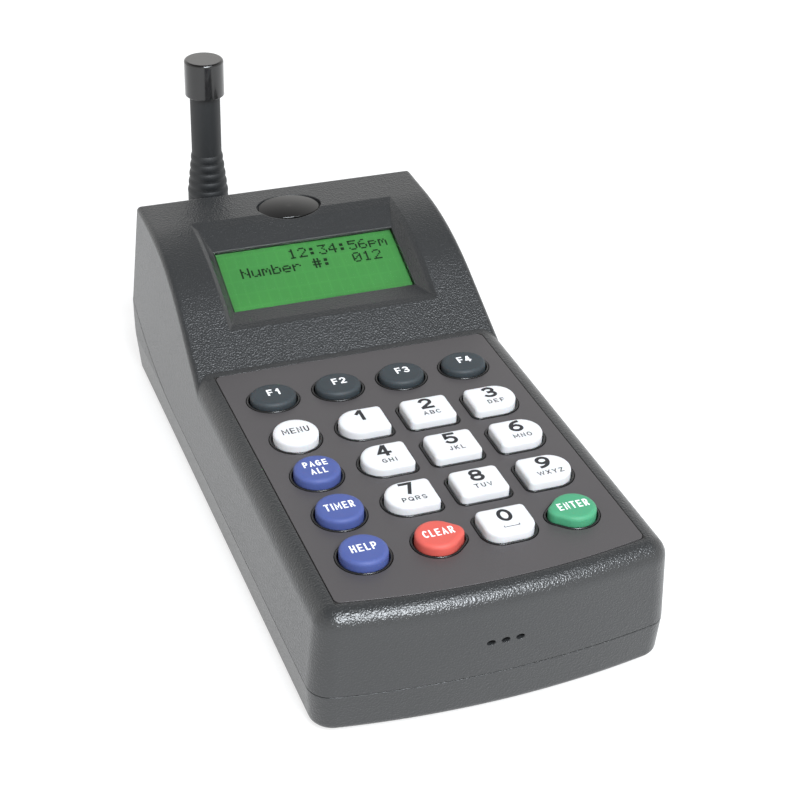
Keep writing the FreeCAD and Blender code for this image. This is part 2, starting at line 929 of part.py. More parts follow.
def badge():
    blank = badge_prism(0, -badge_pocket, badge_proud)
    dome = Part.makeSphere(badge_dome_radius, Vector(0, 0, badge_proud - badge_dome_radius))
    blank = blank.common(dome)
    blank = fillet_where(blank, badge_edge_radius,
                         lambda edge: edge.BoundBox.ZMin > -badge_pocket + pick_margin
                         and edge.BoundBox.XLength > badge_half_width)
    return at_badge(blank)


def key_rims():
    rims = []
    for name, column, row, outline in keys:
        place = key_place(column, row)
        inner = key_prism(outline, key_gap, place, -overlay_recess - rim_width, rim_proud + overrun)
        ring = key_prism(outline, key_gap + rim_width, place, -overlay_recess - rim_width, rim_proud)
        ring = ring.cut(inner)
        rims.append(fillet_where(ring, rim_edge_radius,
                                 lambda edge: edge.BoundBox.ZMin > rim_proud - pick_margin))
    return rims


def upper_case():
    outer = case_solid(0)
    shell = outer.cut(case_solid(wall))
    posts = upper_bosses(outer) + display_posts(outer)
    additions = posts + [funnel_jacket(outer), sounder_cradle(outer)] + jack_pads()
    shell = shell.fuse(additions)
    recess = overlay_face(overlay_gap, -overlay_recess).extrude(Vector(0, 0, overrun))
    pocket = at_badge(badge_prism(badge_gap, -badge_pocket, overrun))
    cuts = [recess, pocket, funnel(), window_hole(), below_parting(0)]
    cuts += key_prisms(key_gap, -overrun, overrun) + sound_slots()
    cuts += jack_holes() + upper_boss_holes() + display_post_holes()
    shell = shell.cut(cuts)
    return shell.fuse(key_rims())


# The lower case
def base_wire(level, front, rear):
    side = base_half_width + overrun
    bow = front_bow * (side / case_half_width) ** 2
    edges = [arc(Vector(-side, bow - front, level), Vector(0, -front, level),
                 Vector(side, bow - front, level)),
             line(Vector(side, bow - front, level), Vector(side, rear, level)),
             line(Vector(side, rear, level), Vector(-side, rear, level)),
             line(Vector(-side, rear, level), Vector(-side, bow - front, level))]
    return Part.Wire(edges)


def base_sides(inset, low, high):
    rise = deck_height - parting_drop

    def half_width(level):
        return base_half_width - inset + base_side_tuck * (level - case_bottom) / rise
    points = [Vector(-half_width(high), 0, high), Vector(half_width(high), 0, high),
              Vector(half_width(low), 0, low), Vector(-half_width(low), 0, low)]
    planes = polygon_face(points)
    planes.translate(Vector(0, -front_reach - 2 * overrun, 0))
    return planes.extrude(Vector(0, front_reach + rear_reach + 4 * overrun, 0))


def base_solid(inset):
    floor = case_bottom + inset
    top = parting_rear_level + overrun
    base_rise = parting_rear_level - case_bottom
    front_share = (top - case_bottom) / (deck_height - parting_drop)
    rear_share = (top - case_bottom) / base_rise
    low_front = base_front_reach - inset
    low_rear = base_rear_reach - inset
    top_front = low_front + base_front_tuck * front_share
    top_rear = low_rear + base_rear_tuck * rear_share
    floor_front = low_front + base_front_tuck * inset / (deck_height - parting_drop)
    floor_rear = low_rear + base_rear_tuck * inset / base_rise
    body = Part.makeLoft([base_wire(floor, floor_front, floor_rear),
                          base_wire(top, top_front, top_rear)], True, True)
    body = body.common(base_sides(inset, floor - overrun, top + overrun))
    body = fillet_where(body, front_corner_radius - inset,
                        lambda edge: is_upright(edge) and edge.BoundBox.YMax < 0)
    rear_radius = max(base_rear_corner_radius - inset, inner_corner_radius)
    body = fillet_where(body, rear_radius,
                        lambda edge: is_upright(edge) and edge.BoundBox.YMin > low_rear - overrun)
    if inset == 0:
        body = fillet_where(body, base_edge_radius,
                            lambda edge: edge.BoundBox.ZMax < case_bottom + pick_margin)
    planes = side_planes(inset, top + overrun, case_bottom - overrun,
                         -front_reach - 2 * overrun, parting_rear_reach + 2 * overrun)
    return body.common(planes)


def case_posts():
    posts = []
    for spot, top in case_holes():
        post = cylinder(case_boss_radius, spot + Vector(0, 0, case_bottom + wall / 2),
                        spot + Vector(0, 0, -top - parting_gap))
        posts.append(post)
    return posts


def case_post_holes():
    holes = []
    for spot, top in case_holes():
        seat = -top - parting_gap - post_roof
        holes.append(cylinder(screw_head_radius + screw_clearance,
                              spot + Vector(0, 0, case_bottom - overrun), spot + Vector(0, 0, seat)))
        holes.append(cylinder(screw_radius + screw_clearance, spot + Vector(0, 0, seat),
                              spot + Vector(0, 0, seat + post_roof + overrun)))
    return holes


def case_lip():
    inside = case_solid(wall + lip_gap + lip_thickness)
    low = below_parting(parting_gap)
    tongue = case_solid(wall + lip_gap).cut(inside).common(below_parting(-lip_height).cut(low))
    root = case_solid(wall / 2).cut(inside).common(low.cut(below_parting(parting_gap + wall)))
    lip = tongue.fuse(root)
    clear = [cylinder(case_boss_radius + lip_gap + seat_gap, spot + Vector(0, 0, case_bottom),
                      spot + Vector(0, 0, head_rise)) for spot, top in case_holes()]
    start = sounder_place()
    clear.append(cylinder(sounder_radius + wall, start - Vector(0, wall, 0),
                          start + Vector(0, sounder_depth, 0)))
    return lip.cut(clear)


def foot_spots():
    return [Vector(sx * foot_x, y, 0) for sx in (-1, 1)
            for y in (-foot_front_reach, foot_rear_reach)]


def lower_case():
    shell = base_solid(0).cut(base_solid(wall)).common(below_parting(parting_gap))
    shell = shell.fuse(case_posts() + [case_lip()])
    pockets = [cylinder(foot_radius + seat_gap, spot + Vector(0, 0, case_bottom - overrun),
                        spot + Vector(0, 0, case_bottom + foot_thickness - foot_proud))
               for spot in foot_spots()]
    return shell.cut(case_post_holes() + pockets)


def rubber_foot(spot):
    foot = cylinder(foot_radius, spot + Vector(0, 0, case_bottom - foot_proud),
                    spot + Vector(0, 0, case_bottom - foot_proud + foot_thickness))
    return fillet_where(foot, foot_edge_radius,
                        lambda edge: edge.BoundBox.ZMax < case_bottom - foot_proud + pick_margin)


# Screws, driven up from below
def pan_screw(radius, head_radius, head_height, length):
    head = cylinder(head_radius, Vector(0, 0, -head_height), Vector(0, 0, 0))
    head = fillet_where(head, head_height * screw_edge_share,
                        lambda edge: edge.BoundBox.ZMax < -head_height + pick_margin)
    shank = cylinder(radius, Vector(0, 0, 0), Vector(0, 0, length))
    half = head_radius * screw_recess_share
    recess = box(Vector(-half, -half, -head_height), Vector(half, half, -head_height / 2))
    return head.fuse(shank).cut(recess)


def case_screws():
    screws = []
    for spot, top in case_holes():
        screw = pan_screw(screw_radius, screw_head_radius, screw_head_height, screw_length)
        screw.translate(spot + Vector(0, 0, -top - parting_gap - post_roof))
        screws.append(screw)
    return Part.makeCompound(screws)


def board_screws():
    screws = []
    for spot in board_holes():
        length = deck_under + wall / 2 - board_bottom - screw_clearance
        screw = pan_screw(small_screw_radius, small_head_radius, small_head_height, length)
        screw.translate(spot + Vector(0, 0, board_bottom))
        screws.append(screw)
    return Part.makeCompound(screws)


def display_screws():
    screws = []
    for spot in module_holes():
        length = board_thickness + display_screw_bite - screw_clearance
        screw = pan_screw(small_screw_radius, small_head_radius, small_head_height, length)
        screw.translate(spot + Vector(0, 0, module_board_top - board_thickness))
        screws.append(tilted(screw))
    return Part.makeCompound(screws)


# Boards
def main_board():
    depth = (main_board_front + main_board_rear) / 2
    radii = [main_board_corner_radius] * 4
    wire = rounded_outline(main_board_half_width, depth, radii, 0)
    face = Part.Face(wire)
    face.translate(Vector(0, (main_board_rear - main_board_front) / 2, board_bottom))
    board = face.extrude(Vector(0, 0, board_thickness))
    holes = [cylinder(small_screw_radius + screw_clearance, spot + Vector(0, 0, board_bottom - overrun),
                      spot + Vector(0, 0, board_top + overrun)) for spot in board_holes()]
    return board.cut(holes)


def keypad_mat():
    side = board_boss_x - board_boss_radius - mat_gap
    sheet = box(Vector(-side, -main_board_front, board_top),
                Vector(side, function_row_reach + oval_key_depth / 2 + key_flange + rim_width,
                       board_top + mat_thickness))
    collars = []
    holes = []
    for name, column, row, outline in keys:
        place = key_place(column, row) + Vector(0, 0, board_top)
        top = Vector(0, 0, mat_thickness + mat_collar_height)
        radius = key_stem_radius + mat_gap
        collars.append(cylinder(radius + mat_collar_width, place, place + top))
        holes.append(cylinder(radius, place - top, place + top + top))
    return sheet.fuse(collars).cut(holes)


def radio_module():
    left = antenna_x - radio_width / 2
    can = box(Vector(left, radio_rear - radio_depth, board_bottom - radio_height),
              Vector(left + radio_width, radio_rear, board_bottom))
    return fillet_where(can, radio_edge_radius,
                        lambda edge: edge.BoundBox.ZMax < board_bottom - radio_height + pick_margin)


def cell_centre():
    return Vector(-main_board_half_width / 2, cell_reach, board_bottom)


def battery_clip():
    centre = cell_centre()
    outside = cylinder(cell_radius + cell_holder_wall + seat_gap, centre,
                       centre - Vector(0, 0, cell_floor + cell_thickness))
    inside = cylinder(cell_radius + seat_gap, centre - Vector(0, 0, cell_floor),
                      centre - Vector(0, 0, cell_floor + cell_thickness + overrun))
    return outside.cut(inside)


def clock_battery():
    centre = cell_centre() - Vector(0, 0, cell_floor)
    cell = cylinder(cell_radius, centre, centre - Vector(0, 0, cell_thickness))
    return fillet_where(cell, cell_floor / 2, lambda edge: edge.BoundBox.ZMax < centre.z - cell_floor)


# Chips under the main board: centre as shares of its half width and front, then width and depth
# as shares of the coin cell's radius
chip_shares = [(0.42, 0.35, 1.4, 1.4), (0.1, 0.4, 0.8, 0.6),
               (0.42, -0.3, 0.9, 0.9), (0.78, 0.1, 0.6, 1.0)]


def board_chips():
    chips = []
    for x_share, y_share, width_share, depth_share in chip_shares:
        centre = Vector(x_share * main_board_half_width, y_share * main_board_front, board_bottom)
        half = Vector(width_share * cell_radius / 2, depth_share * cell_radius / 2, 0)
        chips.append(box(centre - half - Vector(0, 0, chip_height), centre + half))
    return Part.makeCompound(chips)


def ribbon_header():
    rear = main_board_rear - ribbon_thickness
    return box(Vector(0, rear - header_depth, board_bottom - header_height),
               Vector(header_width, rear, board_bottom))


def ribbon_path():
    rear = main_board_rear - ribbon_thickness
    start = Vector(0, rear, board_bottom - header_height + ribbon_thickness)
    pad = Vector(0, module_board_height / -2 - module_board_drop + 2 * module_hole_inset,
                 module_board_top - board_thickness)
    end = display_frame.multVec(pad)
    away = display_frame.multVec(pad - Vector(0, 0, header_depth))
    low = Vector(0, (rear + away.y) / 2, min(start.z, away.z) - ribbon_thickness)
    return [start, low, away, end]


def display_ribbon():
    points = ribbon_path()
    strips = []
    for first, last in zip(points[:-1], points[1:]):
        run = (last - first).normalize()
        across = Vector(0, -run.z, run.y) * (ribbon_thickness / 2)
        strips.append(polygon_face([first - across, last - across, last + across, first + across])
                      .extrude(Vector(ribbon_width, 0, 0)))
    for point in points[1:-1]:
        strips.append(cylinder(ribbon_thickness / 2, point, point + Vector(ribbon_width, 0, 0)))
    ribbon = strips[0].fuse(strips[1:])
    ribbon.translate(Vector((header_width - ribbon_width) / 2, 0, 0))
    return ribbon.cut([main_board(), display_board(), ribbon_header()])


# Display module
def display_window():
    return tilted(box(Vector(-window_half_width - lens_border, -window_half_height - lens_border,
                             -lens_thickness),
                      Vector(window_half_width + lens_border, window_half_height + lens_border, 0)))


def view_centre():
    return Vector(view_shift, 2 * view_shift, 0)


def display_bezel():
    centre = view_centre()
    half = Vector(bezel_half_width, bezel_half_height, 0)
    inner = Vector(bezel_half_width - bezel_sheet, bezel_half_height - bezel_sheet, 0)
    view = Vector(view_half_width, view_half_height, 0)
    low = Vector(0, 0, bezel_top - bezel_depth)
    frame = box(centre - half + low, centre + half + Vector(0, 0, bezel_top))
    frame = fillet_where(frame, bezel_sheet, lambda edge: edge.BoundBox.ZMin > bezel_top - pick_margin)
    hollow = box(centre - inner + low, centre + inner + Vector(0, 0, bezel_top - bezel_sheet))
    opening = box(centre - view + Vector(0, 0, -overrun), centre + view)
    return tilted(frame.cut([hollow, opening]))


def cell_half():
    inset = bezel_sheet + module_gap
    return Vector(bezel_half_width - inset, bezel_half_height - inset, 0)


def display_glass():
    centre = view_centre()
    half = cell_half()
    return tilted(box(centre - half + Vector(0, 0, glass_top - glass_thickness),
                      centre + half + Vector(0, 0, glass_top)))


def display_backlight():
    centre = view_centre()
    half = cell_half()
    return tilted(box(centre - half + Vector(0, 0, module_board_top),
                      centre + half + Vector(0, 0, glass_top - glass_thickness)))


def display_board():
    half_width = module_board_width / 2
    half_height = module_board_height / 2
    low = Vector(-half_width, -half_height - module_board_drop, module_board_top - board_thickness)
    high = Vector(half_width, half_height - module_board_drop, module_board_top)
    board = box(low, high)
    holes = [cylinder(small_screw_radius + screw_clearance,
                      spot + Vector(0, 0, module_board_top - overrun),
                      spot + Vector(0, 0, module_board_top + overrun)) for spot in module_holes()]
    return tilted(board.cut(holes))


def sounder():
    start = sounder_place()
    body = cylinder(sounder_radius, start, start + Vector(0, sounder_depth, 0))
    port = cylinder(sounder_port_radius, start, start + Vector(0, sounder_depth / 2, 0))
    return body.cut(port)


# Jacks: turned pieces whose axis runs along Y
def turned(points, centre, holes):
    face = polygon_face([Vector(radius, y, 0) for radius, y in points])
    solid = face.revolve(Vector(0, 0, 0), Vector(0, 1, 0), 360)
    solid.translate(centre)
    return solid.cut(holes) if holes else solid


def antenna_jack():
    centre = antenna_centre
    flange = hexagon(jack_flange_width, centre + Vector(0, jack_pad_outer, 0),
                     centre + Vector(0, barrel_start, 0))
    thread_end = jack_pad_outer - jack_thread_length
    thread = cylinder(jack_thread_radius, centre + Vector(0, thread_end, 0),
                      centre + Vector(0, jack_pad_outer, 0))
    tail = cylinder(jack_tail_radius, centre + Vector(0, thread_end - jack_tail_length, 0),
                    centre + Vector(0, thread_end, 0))
    barrel = cylinder(jack_barrel_radius, centre + Vector(0, barrel_start, 0),
                      centre + Vector(0, barrel_end, 0))
    bore = cylinder(jack_barrel_radius - jack_barrel_wall, centre + Vector(0, barrel_start, 0),
                    centre + Vector(0, barrel_end + overrun, 0))
    contact = cylinder(jack_contact_radius, centre + Vector(0, barrel_start - screw_gap, 0),
                       centre + Vector(0, barrel_end - jack_contact_radius, 0))
    socket = cylinder(pin_radius + running_gap, centre + Vector(0, barrel_start, 0),
                      centre + Vector(0, barrel_end, 0))
    lug_y = barrel_start + lug_setback
    reach = jack_barrel_radius - jack_barrel_wall / 2
    lugs = [cylinder(lug_radius, centre + Vector(side * reach, lug_y, 0),
                     centre + Vector(side * lug_reach, lug_y, 0)) for side in (-1, 1)]
    barrel = barrel.cut(bore).fuse(lugs)
    return flange.fuse([thread, tail, barrel, contact]).cut(socket)


def jack_washer():
    centre = antenna_centre
    face = jack_pad_inner
    ring = cylinder(jack_thread_radius + washer_border, centre + Vector(0, face - washer_thickness, 0),
                    centre + Vector(0, face, 0))
    return ring.cut(cylinder(jack_thread_radius + screw_gap, centre + Vector(0, face - overrun, 0),
                             centre + Vector(0, face + overrun, 0)))


def jack_nut():
    centre = antenna_centre
    face = jack_pad_inner - washer_thickness
    nut = hexagon(jack_flange_width, centre + Vector(0, face - nut_thickness, 0),
                  centre + Vector(0, face, 0))
    return nut.cut(cylinder(jack_thread_radius + screw_gap, centre + Vector(0, face - overrun, 0),
                            centre + Vector(0, face + overrun, 0)))


def power_jack():
    centre = inlet_centre
    mouth = jack_pad_outer + inlet_flange_thickness
    flange = cylinder(inlet_flange_radius, centre + Vector(0, jack_pad_outer, 0),
                      centre + Vector(0, mouth, 0))
    flange = fillet_where(flange, inlet_edge_radius,
                          lambda edge: edge.BoundBox.YMin > mouth - pick_margin)
    body = cylinder(inlet_body_radius, centre + Vector(0, jack_pad_outer - inlet_body_length, 0),
                    centre + Vector(0, jack_pad_outer, 0))
    bore = cylinder(inlet_bore_radius, centre + Vector(0, mouth - inlet_bore_depth, 0),
                    centre + Vector(0, mouth + overrun, 0))
    pin = cylinder(inlet_pin_radius, centre + Vector(0, mouth - inlet_bore_depth - screw_gap, 0),
                   centre + Vector(0, mouth - inlet_pin_setback, 0))
    return flange.fuse(body).cut(bore).fuse(pin)


def power_nut():
    centre = inlet_centre
    nut = hexagon(inlet_nut_width, centre + Vector(0, jack_pad_inner - nut_thickness, 0),
                  centre + Vector(0, jack_pad_inner, 0))
    return nut.cut(cylinder(inlet_body_radius + screw_gap, centre + Vector(0, jack_pad_inner - overrun, 0),
                            centre + Vector(0, jack_pad_inner + overrun, 0)))


# Antenna: a bayonet ring, the plug's metal shell, the moulded rubber sheath, its core and its cap
def bayonet_ring():
    bore = jack_barrel_radius + ring_bore_gap
    neck_bore = neck_radius + ring_bore_gap
    points = [(bore, ring_front), (ring_radius, ring_front), (ring_radius, ring_rear),
              (neck_bore, ring_rear), (neck_bore, ring_step), (bore, ring_step)]
    ring = turned(points, antenna_centre, None)
    lug_y = barrel_start + lug_setback
    half = lug_radius + ring_slot_gap
    slot_outer = lug_reach + ring_slot_gap
    sweep_back = math.degrees(math.asin(half / jack_barrel_radius)) + ring_slot_spare_angle
    cuts = []
    for start_angle in (0, 180):
        face = polygon_face([Vector(bore - ring_slot_gap, lug_y - half, 0),
                             Vector(slot_outer, lug_y - half, 0),
                             Vector(slot_outer, lug_y + half, 0),
                             Vector(bore - ring_slot_gap, lug_y + half, 0)])
        axis = Vector(0, 1, 0)
        face.rotate(Vector(0, 0, 0), axis, start_angle - ring_unlock_angle - sweep_back)
        window = face.revolve(Vector(0, 0, 0), axis, ring_unlock_angle + 2 * sweep_back)
        entry = box(Vector(bore - ring_slot_gap, ring_front - overrun, -half),
                    Vector(slot_outer, lug_y, half))
        entry.rotate(Vector(0, 0, 0), axis, start_angle - ring_unlock_angle)
        for cut in (window, entry):
            cut.translate(antenna_centre)
            cuts.append(cut)
    for index in range(ring_flute_count):
        turn = 2 * math.pi * index / ring_flute_count
        distance = ring_radius + ring_flute_radius - ring_radius * ring_flute_share
        spot = antenna_centre + Vector(distance * math.cos(turn), 0, distance * math.sin(turn))
        cuts.append(cylinder(ring_flute_radius, spot + Vector(0, ring_front - overrun, 0),
                             spot + Vector(0, ring_rear + overrun, 0)))
    return ring.cut(cuts)


def shell_end():
    return ring_rear + ring_rear_gap + neck_depth


def plug_shell():
    sleeve = jack_barrel_radius - jack_barrel_wall - running_gap
    inner = sleeve - sleeve_wall
    end = shell_end()
    points = [(inner, ring_front + ring_front_gap), (sleeve, ring_front + ring_front_gap),
              (sleeve, barrel_end + ring_bore_gap), (neck_radius, barrel_end + ring_bore_gap),
              (neck_radius, end), (core_radius + running_gap, end),
              (core_radius + running_gap, ring_step), (inner, ring_step)]
    return turned(points, antenna_centre, None)


def antenna_core():
    base = Vector(antenna_x, antenna_y, 0)
    rod = cylinder(core_radius, base - Vector(0, 0, 2 * core_radius),
                   base + Vector(0, 0, antenna_top - cap_roof - core_top_gap))
    link = cylinder(core_radius, antenna_centre + Vector(0, ring_step, 0), base)
    pin = cylinder(pin_radius, antenna_centre + Vector(0, barrel_start + lug_radius, 0),
                   antenna_centre + Vector(0, ring_rear, 0))
    return rod.fuse([link, pin])


def flare_radius(height):
    share = (height - flare_bottom) / (flare_top - flare_bottom)
    return sheath_base_radius + (stem_radius - sheath_base_radius) * share


def sheath_profile():
    foot = -sheath_foot
    curve = sheath_foot_radius
    slant = curve * (1 - 1 / math.sqrt(2))
    edges = [line(Vector(0, 0, foot), Vector(sheath_base_radius - curve, 0, foot)),
             arc(Vector(sheath_base_radius - curve, 0, foot),
                 Vector(sheath_base_radius - slant, 0, foot + slant),
                 Vector(sheath_base_radius, 0, foot + curve)),
             line(Vector(sheath_base_radius, 0, foot + curve), Vector(sheath_base_radius, 0, flare_bottom))]
    pitch = (flare_top - flare_bottom) / rib_count
    last = Vector(sheath_base_radius, 0, flare_bottom)
    for index in range(rib_count):
        low = flare_bottom + index * pitch
        groove_end = Vector(flare_radius(low + rib_groove), 0, low + rib_groove)
        edges.append(line(last, groove_end))
        high = low + pitch
        middle_z = (low + rib_groove + high) / 2
        end = Vector(flare_radius(high), 0, high)
        edges.append(arc(groove_end, Vector(flare_radius(middle_z) + rib_bulge / 2, 0, middle_z), end))
        last = end
    top = antenna_top - cap_roof
    edges.append(line(last, Vector(stem_radius, 0, top)))
    edges.append(line(Vector(stem_radius, 0, top), Vector(0, 0, top)))
    edges.append(line(Vector(0, 0, top), Vector(0, 0, foot)))
    return face_of(edges)


def antenna_sheath():
    body = sheath_profile().revolve(Vector(0, 0, 0), Vector(0, 0, 1), 360)
    body.translate(Vector(antenna_x, antenna_y, 0))
    collar = cylinder(neck_radius + sleeve_wall + rib_bulge,
                      antenna_centre + Vector(0, ring_rear + ring_rear_gap, 0),
                      antenna_centre + Vector(0, antenna_y, 0))
    room = cylinder(neck_radius, antenna_centre + Vector(0, ring_rear - overrun, 0),
                    antenna_centre + Vector(0, shell_end(), 0))
    return body.fuse(collar).cut([room, antenna_core()])


def antenna_cap():
    base = Vector(antenna_x, antenna_y, 0)
    cap = cylinder(cap_radius, base + Vector(0, 0, antenna_top - cap_height),
                   base + Vector(0, 0, antenna_top))
    cap = fillet_where(cap, cap_edge_radius, lambda edge: edge.BoundBox.ZMin > antenna_top - pick_margin)
    cap = fillet_where(cap, cap_rim_radius,
                       lambda edge: edge.BoundBox.ZMax < antenna_top - cap_height + pick_margin)
    bore = cylinder(stem_radius + cap_gap, base + Vector(0, 0, antenna_top - cap_height - overrun),
                    base + Vector(0, 0, antenna_top - cap_roof + cap_gap))
    return cap.cut(bore)


# Leads inside the case: straight runs joined by tangent arcs
def tube(points, radius):
    edges = []
    last = points[0]
    for index in range(1, len(points) - 1):
        here = points[index]
        back = points[index - 1] - here
        ahead = points[index + 1] - here
        half_turn = (math.pi - back.getAngle(ahead)) / 2
        trim = lead_bend_share * min(back.Length, ahead.Length)
        back.normalize()
        ahead.normalize()
        start = here + back * trim
        end = here + ahead * trim
        bend = trim / math.tan(half_turn)
        inward = (back + ahead).normalize()
        middle = here + inward * (bend / math.cos(half_turn) - bend)
        edges.append(line(last, start))
        edges.append(arc(start, middle, end))
        last = end
    edges.append(line(last, points[-1]))
    path = Part.Wire(edges)
    run = points[1] - points[0]
    circle = Part.Wire(Part.makeCircle(radius, points[0], run))
    return path.makePipeShell([circle], True, False)


def antenna_lead():
    tail = jack_pad_outer - jack_thread_length - jack_tail_length
    level = board_bottom - radio_height / 2
    low = -lead_low
    points = [Vector(antenna_x, tail, 0), Vector(antenna_x, tail - lead_low, 0),
              Vector(antenna_x, tail - 2 * lead_low, low),
              Vector(antenna_x, main_board_rear + 2 * header_height, low),
              Vector(antenna_x, main_board_rear, level), Vector(antenna_x, radio_rear, level)]
    return tube(points, antenna_lead_radius)


def power_plug_box():
    x = inlet_x + header_width / 2
    return Vector(x, main_board_rear - 2 * header_depth, board_bottom)


def power_header():
    low = power_plug_box()
    return box(low - Vector(header_depth / 2, 0, header_height),
               low + Vector(header_depth / 2, header_depth, 0))


def power_lead():
    tail = jack_pad_outer - inlet_body_length
    start = inlet_centre + Vector(0, tail, 0)
    low = -lead_low
    target = power_plug_box() + Vector(0, header_depth, -header_height / 2)
    points = [start, start - Vector(0, lead_low, 0),
              Vector(start.x, start.y - 2 * lead_low, low),
              Vector(target.x, main_board_rear + 2 * header_height + header_depth, low),
              Vector(target.x, main_board_rear + header_depth, target.z), target]
    return tube(points, power_lead_radius)


sub_parts = [upper_case, lower_case, keypad_overlay, keypad_mat, main_board, board_chips,
             battery_clip, clock_battery, radio_module, ribbon_header, power_header,
             display_ribbon, display_window, display_bezel, display_glass, display_backlight,
             display_board, badge, sounder, antenna_jack, jack_washer, jack_nut, antenna_lead,
             bayonet_ring, plug_shell, antenna_core, antenna_sheath, antenna_cap, power_jack,
             power_nut, power_lead, case_screws, board_screws, display_screws]


# Each piece is saved under its function's name, each key and foot under its own
def main():
    os.makedirs("parts", exist_ok=True)
    for sub_part in sub_parts:
        save(sub_part.__name__, sub_part())
    for name, column, row, outline in keys:
        save(name, key(column, row, outline))
    for index, spot in enumerate(foot_spots()):
        save("foot_" + str(index + 1), rubber_foot(spot))


main()
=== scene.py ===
import math

import bmesh
import bpy
from mathutils import Euler, Matrix, Vector


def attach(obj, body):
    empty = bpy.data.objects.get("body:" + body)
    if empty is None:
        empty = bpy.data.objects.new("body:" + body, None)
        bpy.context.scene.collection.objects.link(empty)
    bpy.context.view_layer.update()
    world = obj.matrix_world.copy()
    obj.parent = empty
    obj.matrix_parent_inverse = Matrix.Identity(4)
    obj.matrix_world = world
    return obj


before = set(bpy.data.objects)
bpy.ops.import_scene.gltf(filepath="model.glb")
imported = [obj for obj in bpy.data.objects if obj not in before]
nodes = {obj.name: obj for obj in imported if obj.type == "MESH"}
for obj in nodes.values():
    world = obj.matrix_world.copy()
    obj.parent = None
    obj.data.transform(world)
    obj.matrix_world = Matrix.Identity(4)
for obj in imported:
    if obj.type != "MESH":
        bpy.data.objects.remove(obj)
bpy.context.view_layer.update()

# Camera. The photograph is taken from in front, left of the middle and above, with a long lens,
# so its lines stay nearly parallel. Places on the object are given from the middle of the keypad
# deck in millimetres: X to the right, Y towards the display, Z up from the deck.
DECK_HEIGHT = 40.2
DECK_SHIFT = 61.8


def deck(x, y, z):
    return Vector((x / 1000, (y - DECK_SHIFT) / 1000, (z + DECK_HEIGHT) / 1000))


camera_data = bpy.data.cameras.new("camera")
camera_data.sensor_width = 36.0
camera_data.lens = 79.87
camera = bpy.data.objects.new("camera", camera_data)
camera.location = deck(-162.33, -388.3, 291.26)
camera.rotation_euler = Euler([math.radians(turn) for turn in (57.656, -1.504, -20.4475)], "XYZ")
bpy.context.scene.collection.objects.link(camera)
bpy.context.scene.camera = camera

# Studio. A white shooting table, lit a little from below, in a white tent that is brightest near
# the table and dim overhead. One large softbox stands in front as a key light, and a weaker one
# hangs overhead.
bpy.context.scene.view_settings.view_transform = "Standard"


def linear(hex_colour):
    """An sRGB hex colour as linear red, green, blue and alpha."""
    shares = [int(hex_colour[i:i + 2], 16) / 255 for i in (1, 3, 5)]
    return tuple(s / 12.92 if s <= 0.04045 else ((s + 0.055) / 1.055) ** 2.4 for s in shares) + (1.0,)


def add_node(tree, kind, sockets=None, **settings):
    """Adds a shader or geometry node, sets it up and links or fills its sockets."""
    made = tree.nodes.new(kind)
    for name, value in settings.items():
        setattr(made, name, value)
    for name, value in (sockets or {}).items():
        if isinstance(value, bpy.types.NodeSocket):
            tree.links.new(value, made.inputs[name])
        else:
            made.inputs[name].default_value = value
    return made


def start_material(name):
    """A material with only a Principled shader, its tree, and places on the object to draw on."""
    material = bpy.data.materials.new(name)
    material.use_nodes = True
    tree = material.node_tree
    tree.nodes.clear()
    shader = add_node(tree, "ShaderNodeBsdfPrincipled")
    add_node(tree, "ShaderNodeOutputMaterial", {"Surface": shader.outputs["BSDF"]})
    place = add_node(tree, "ShaderNodeTexCoord").outputs["Object"]
    return material, tree, shader, place


def dress(piece, material):
    piece.data.materials.clear()
    piece.data.materials.append(material)


def mesh_piece(name, vertices, faces):
    mesh = bpy.data.meshes.new(name)
    mesh.from_pydata([tuple(v) for v in vertices], [], faces)
    mesh.update()
    piece = bpy.data.objects.new(name, mesh)
    bpy.context.scene.collection.objects.link(piece)
    return piece


def height_noise(tree, place, size, detail, roughness):
    """Noise whose grains are about size millimetres across."""
    return add_node(tree, "ShaderNodeTexNoise", {"Vector": place, "Scale": 1000 / size, "Detail": detail,
                                                 "Roughness": roughness}).outputs["Fac"]


def tint(tree, factor, dark, light):
    """A colour that goes from one hex colour to another with the factor."""
    return add_node(tree, "ShaderNodeMix", {"Factor": factor, "A": linear(dark), "B": linear(light)},
                    data_type="RGBA").outputs["Result"]


def table_acrylic():
    material, tree, shader, place = start_material("opal_acrylic")
    tone = tint(tree, height_noise(tree, place, 40.0, 3.0, 0.5), "#9a9a9a", "#a0a0a0")
    tree.links.new(tone, shader.inputs["Base Color"])
    shader.inputs["Emission Color"].default_value = linear("#ffffff")
    shader.inputs["Emission Strength"].default_value = TABLE_GLOW
    shader.inputs["Roughness"].default_value = 0.9
    return material


TABLE_GLOW = 0.74
TABLE_REACH = 6
corners = [(x * TABLE_REACH, y * TABLE_REACH, 0) for x, y in ((-1, -1), (1, -1), (1, 1), (-1, 1))]
table = mesh_piece("shooting_table", corners, [(0, 1, 2, 3)])
dress(table, table_acrylic())


def softbox(name, direction, distance, size, power):
    """A square area lamp, size metres wide, that faces the object from the given direction."""
    data = bpy.data.lights.new(name, "AREA")
    data.shape = "SQUARE"
    data.color = LAMP_COLOUR
    data.size = size
    data.energy = power
    lamp = bpy.data.objects.new(name, data)
    lamp.location = Vector(direction).normalized() * distance
    lamp.rotation_euler = Vector(direction).to_track_quat("Z", "Y").to_euler()
    bpy.context.scene.collection.objects.link(lamp)


LAMP_COLOUR = (0.9, 0.95, 1.0)
softbox("key_softbox", (0.04, -0.65, 0.76), 1.5, 0.6, 29)
softbox("top_softbox", (0.29, -0.3, 0.91), 1.5, 0.4, 4)


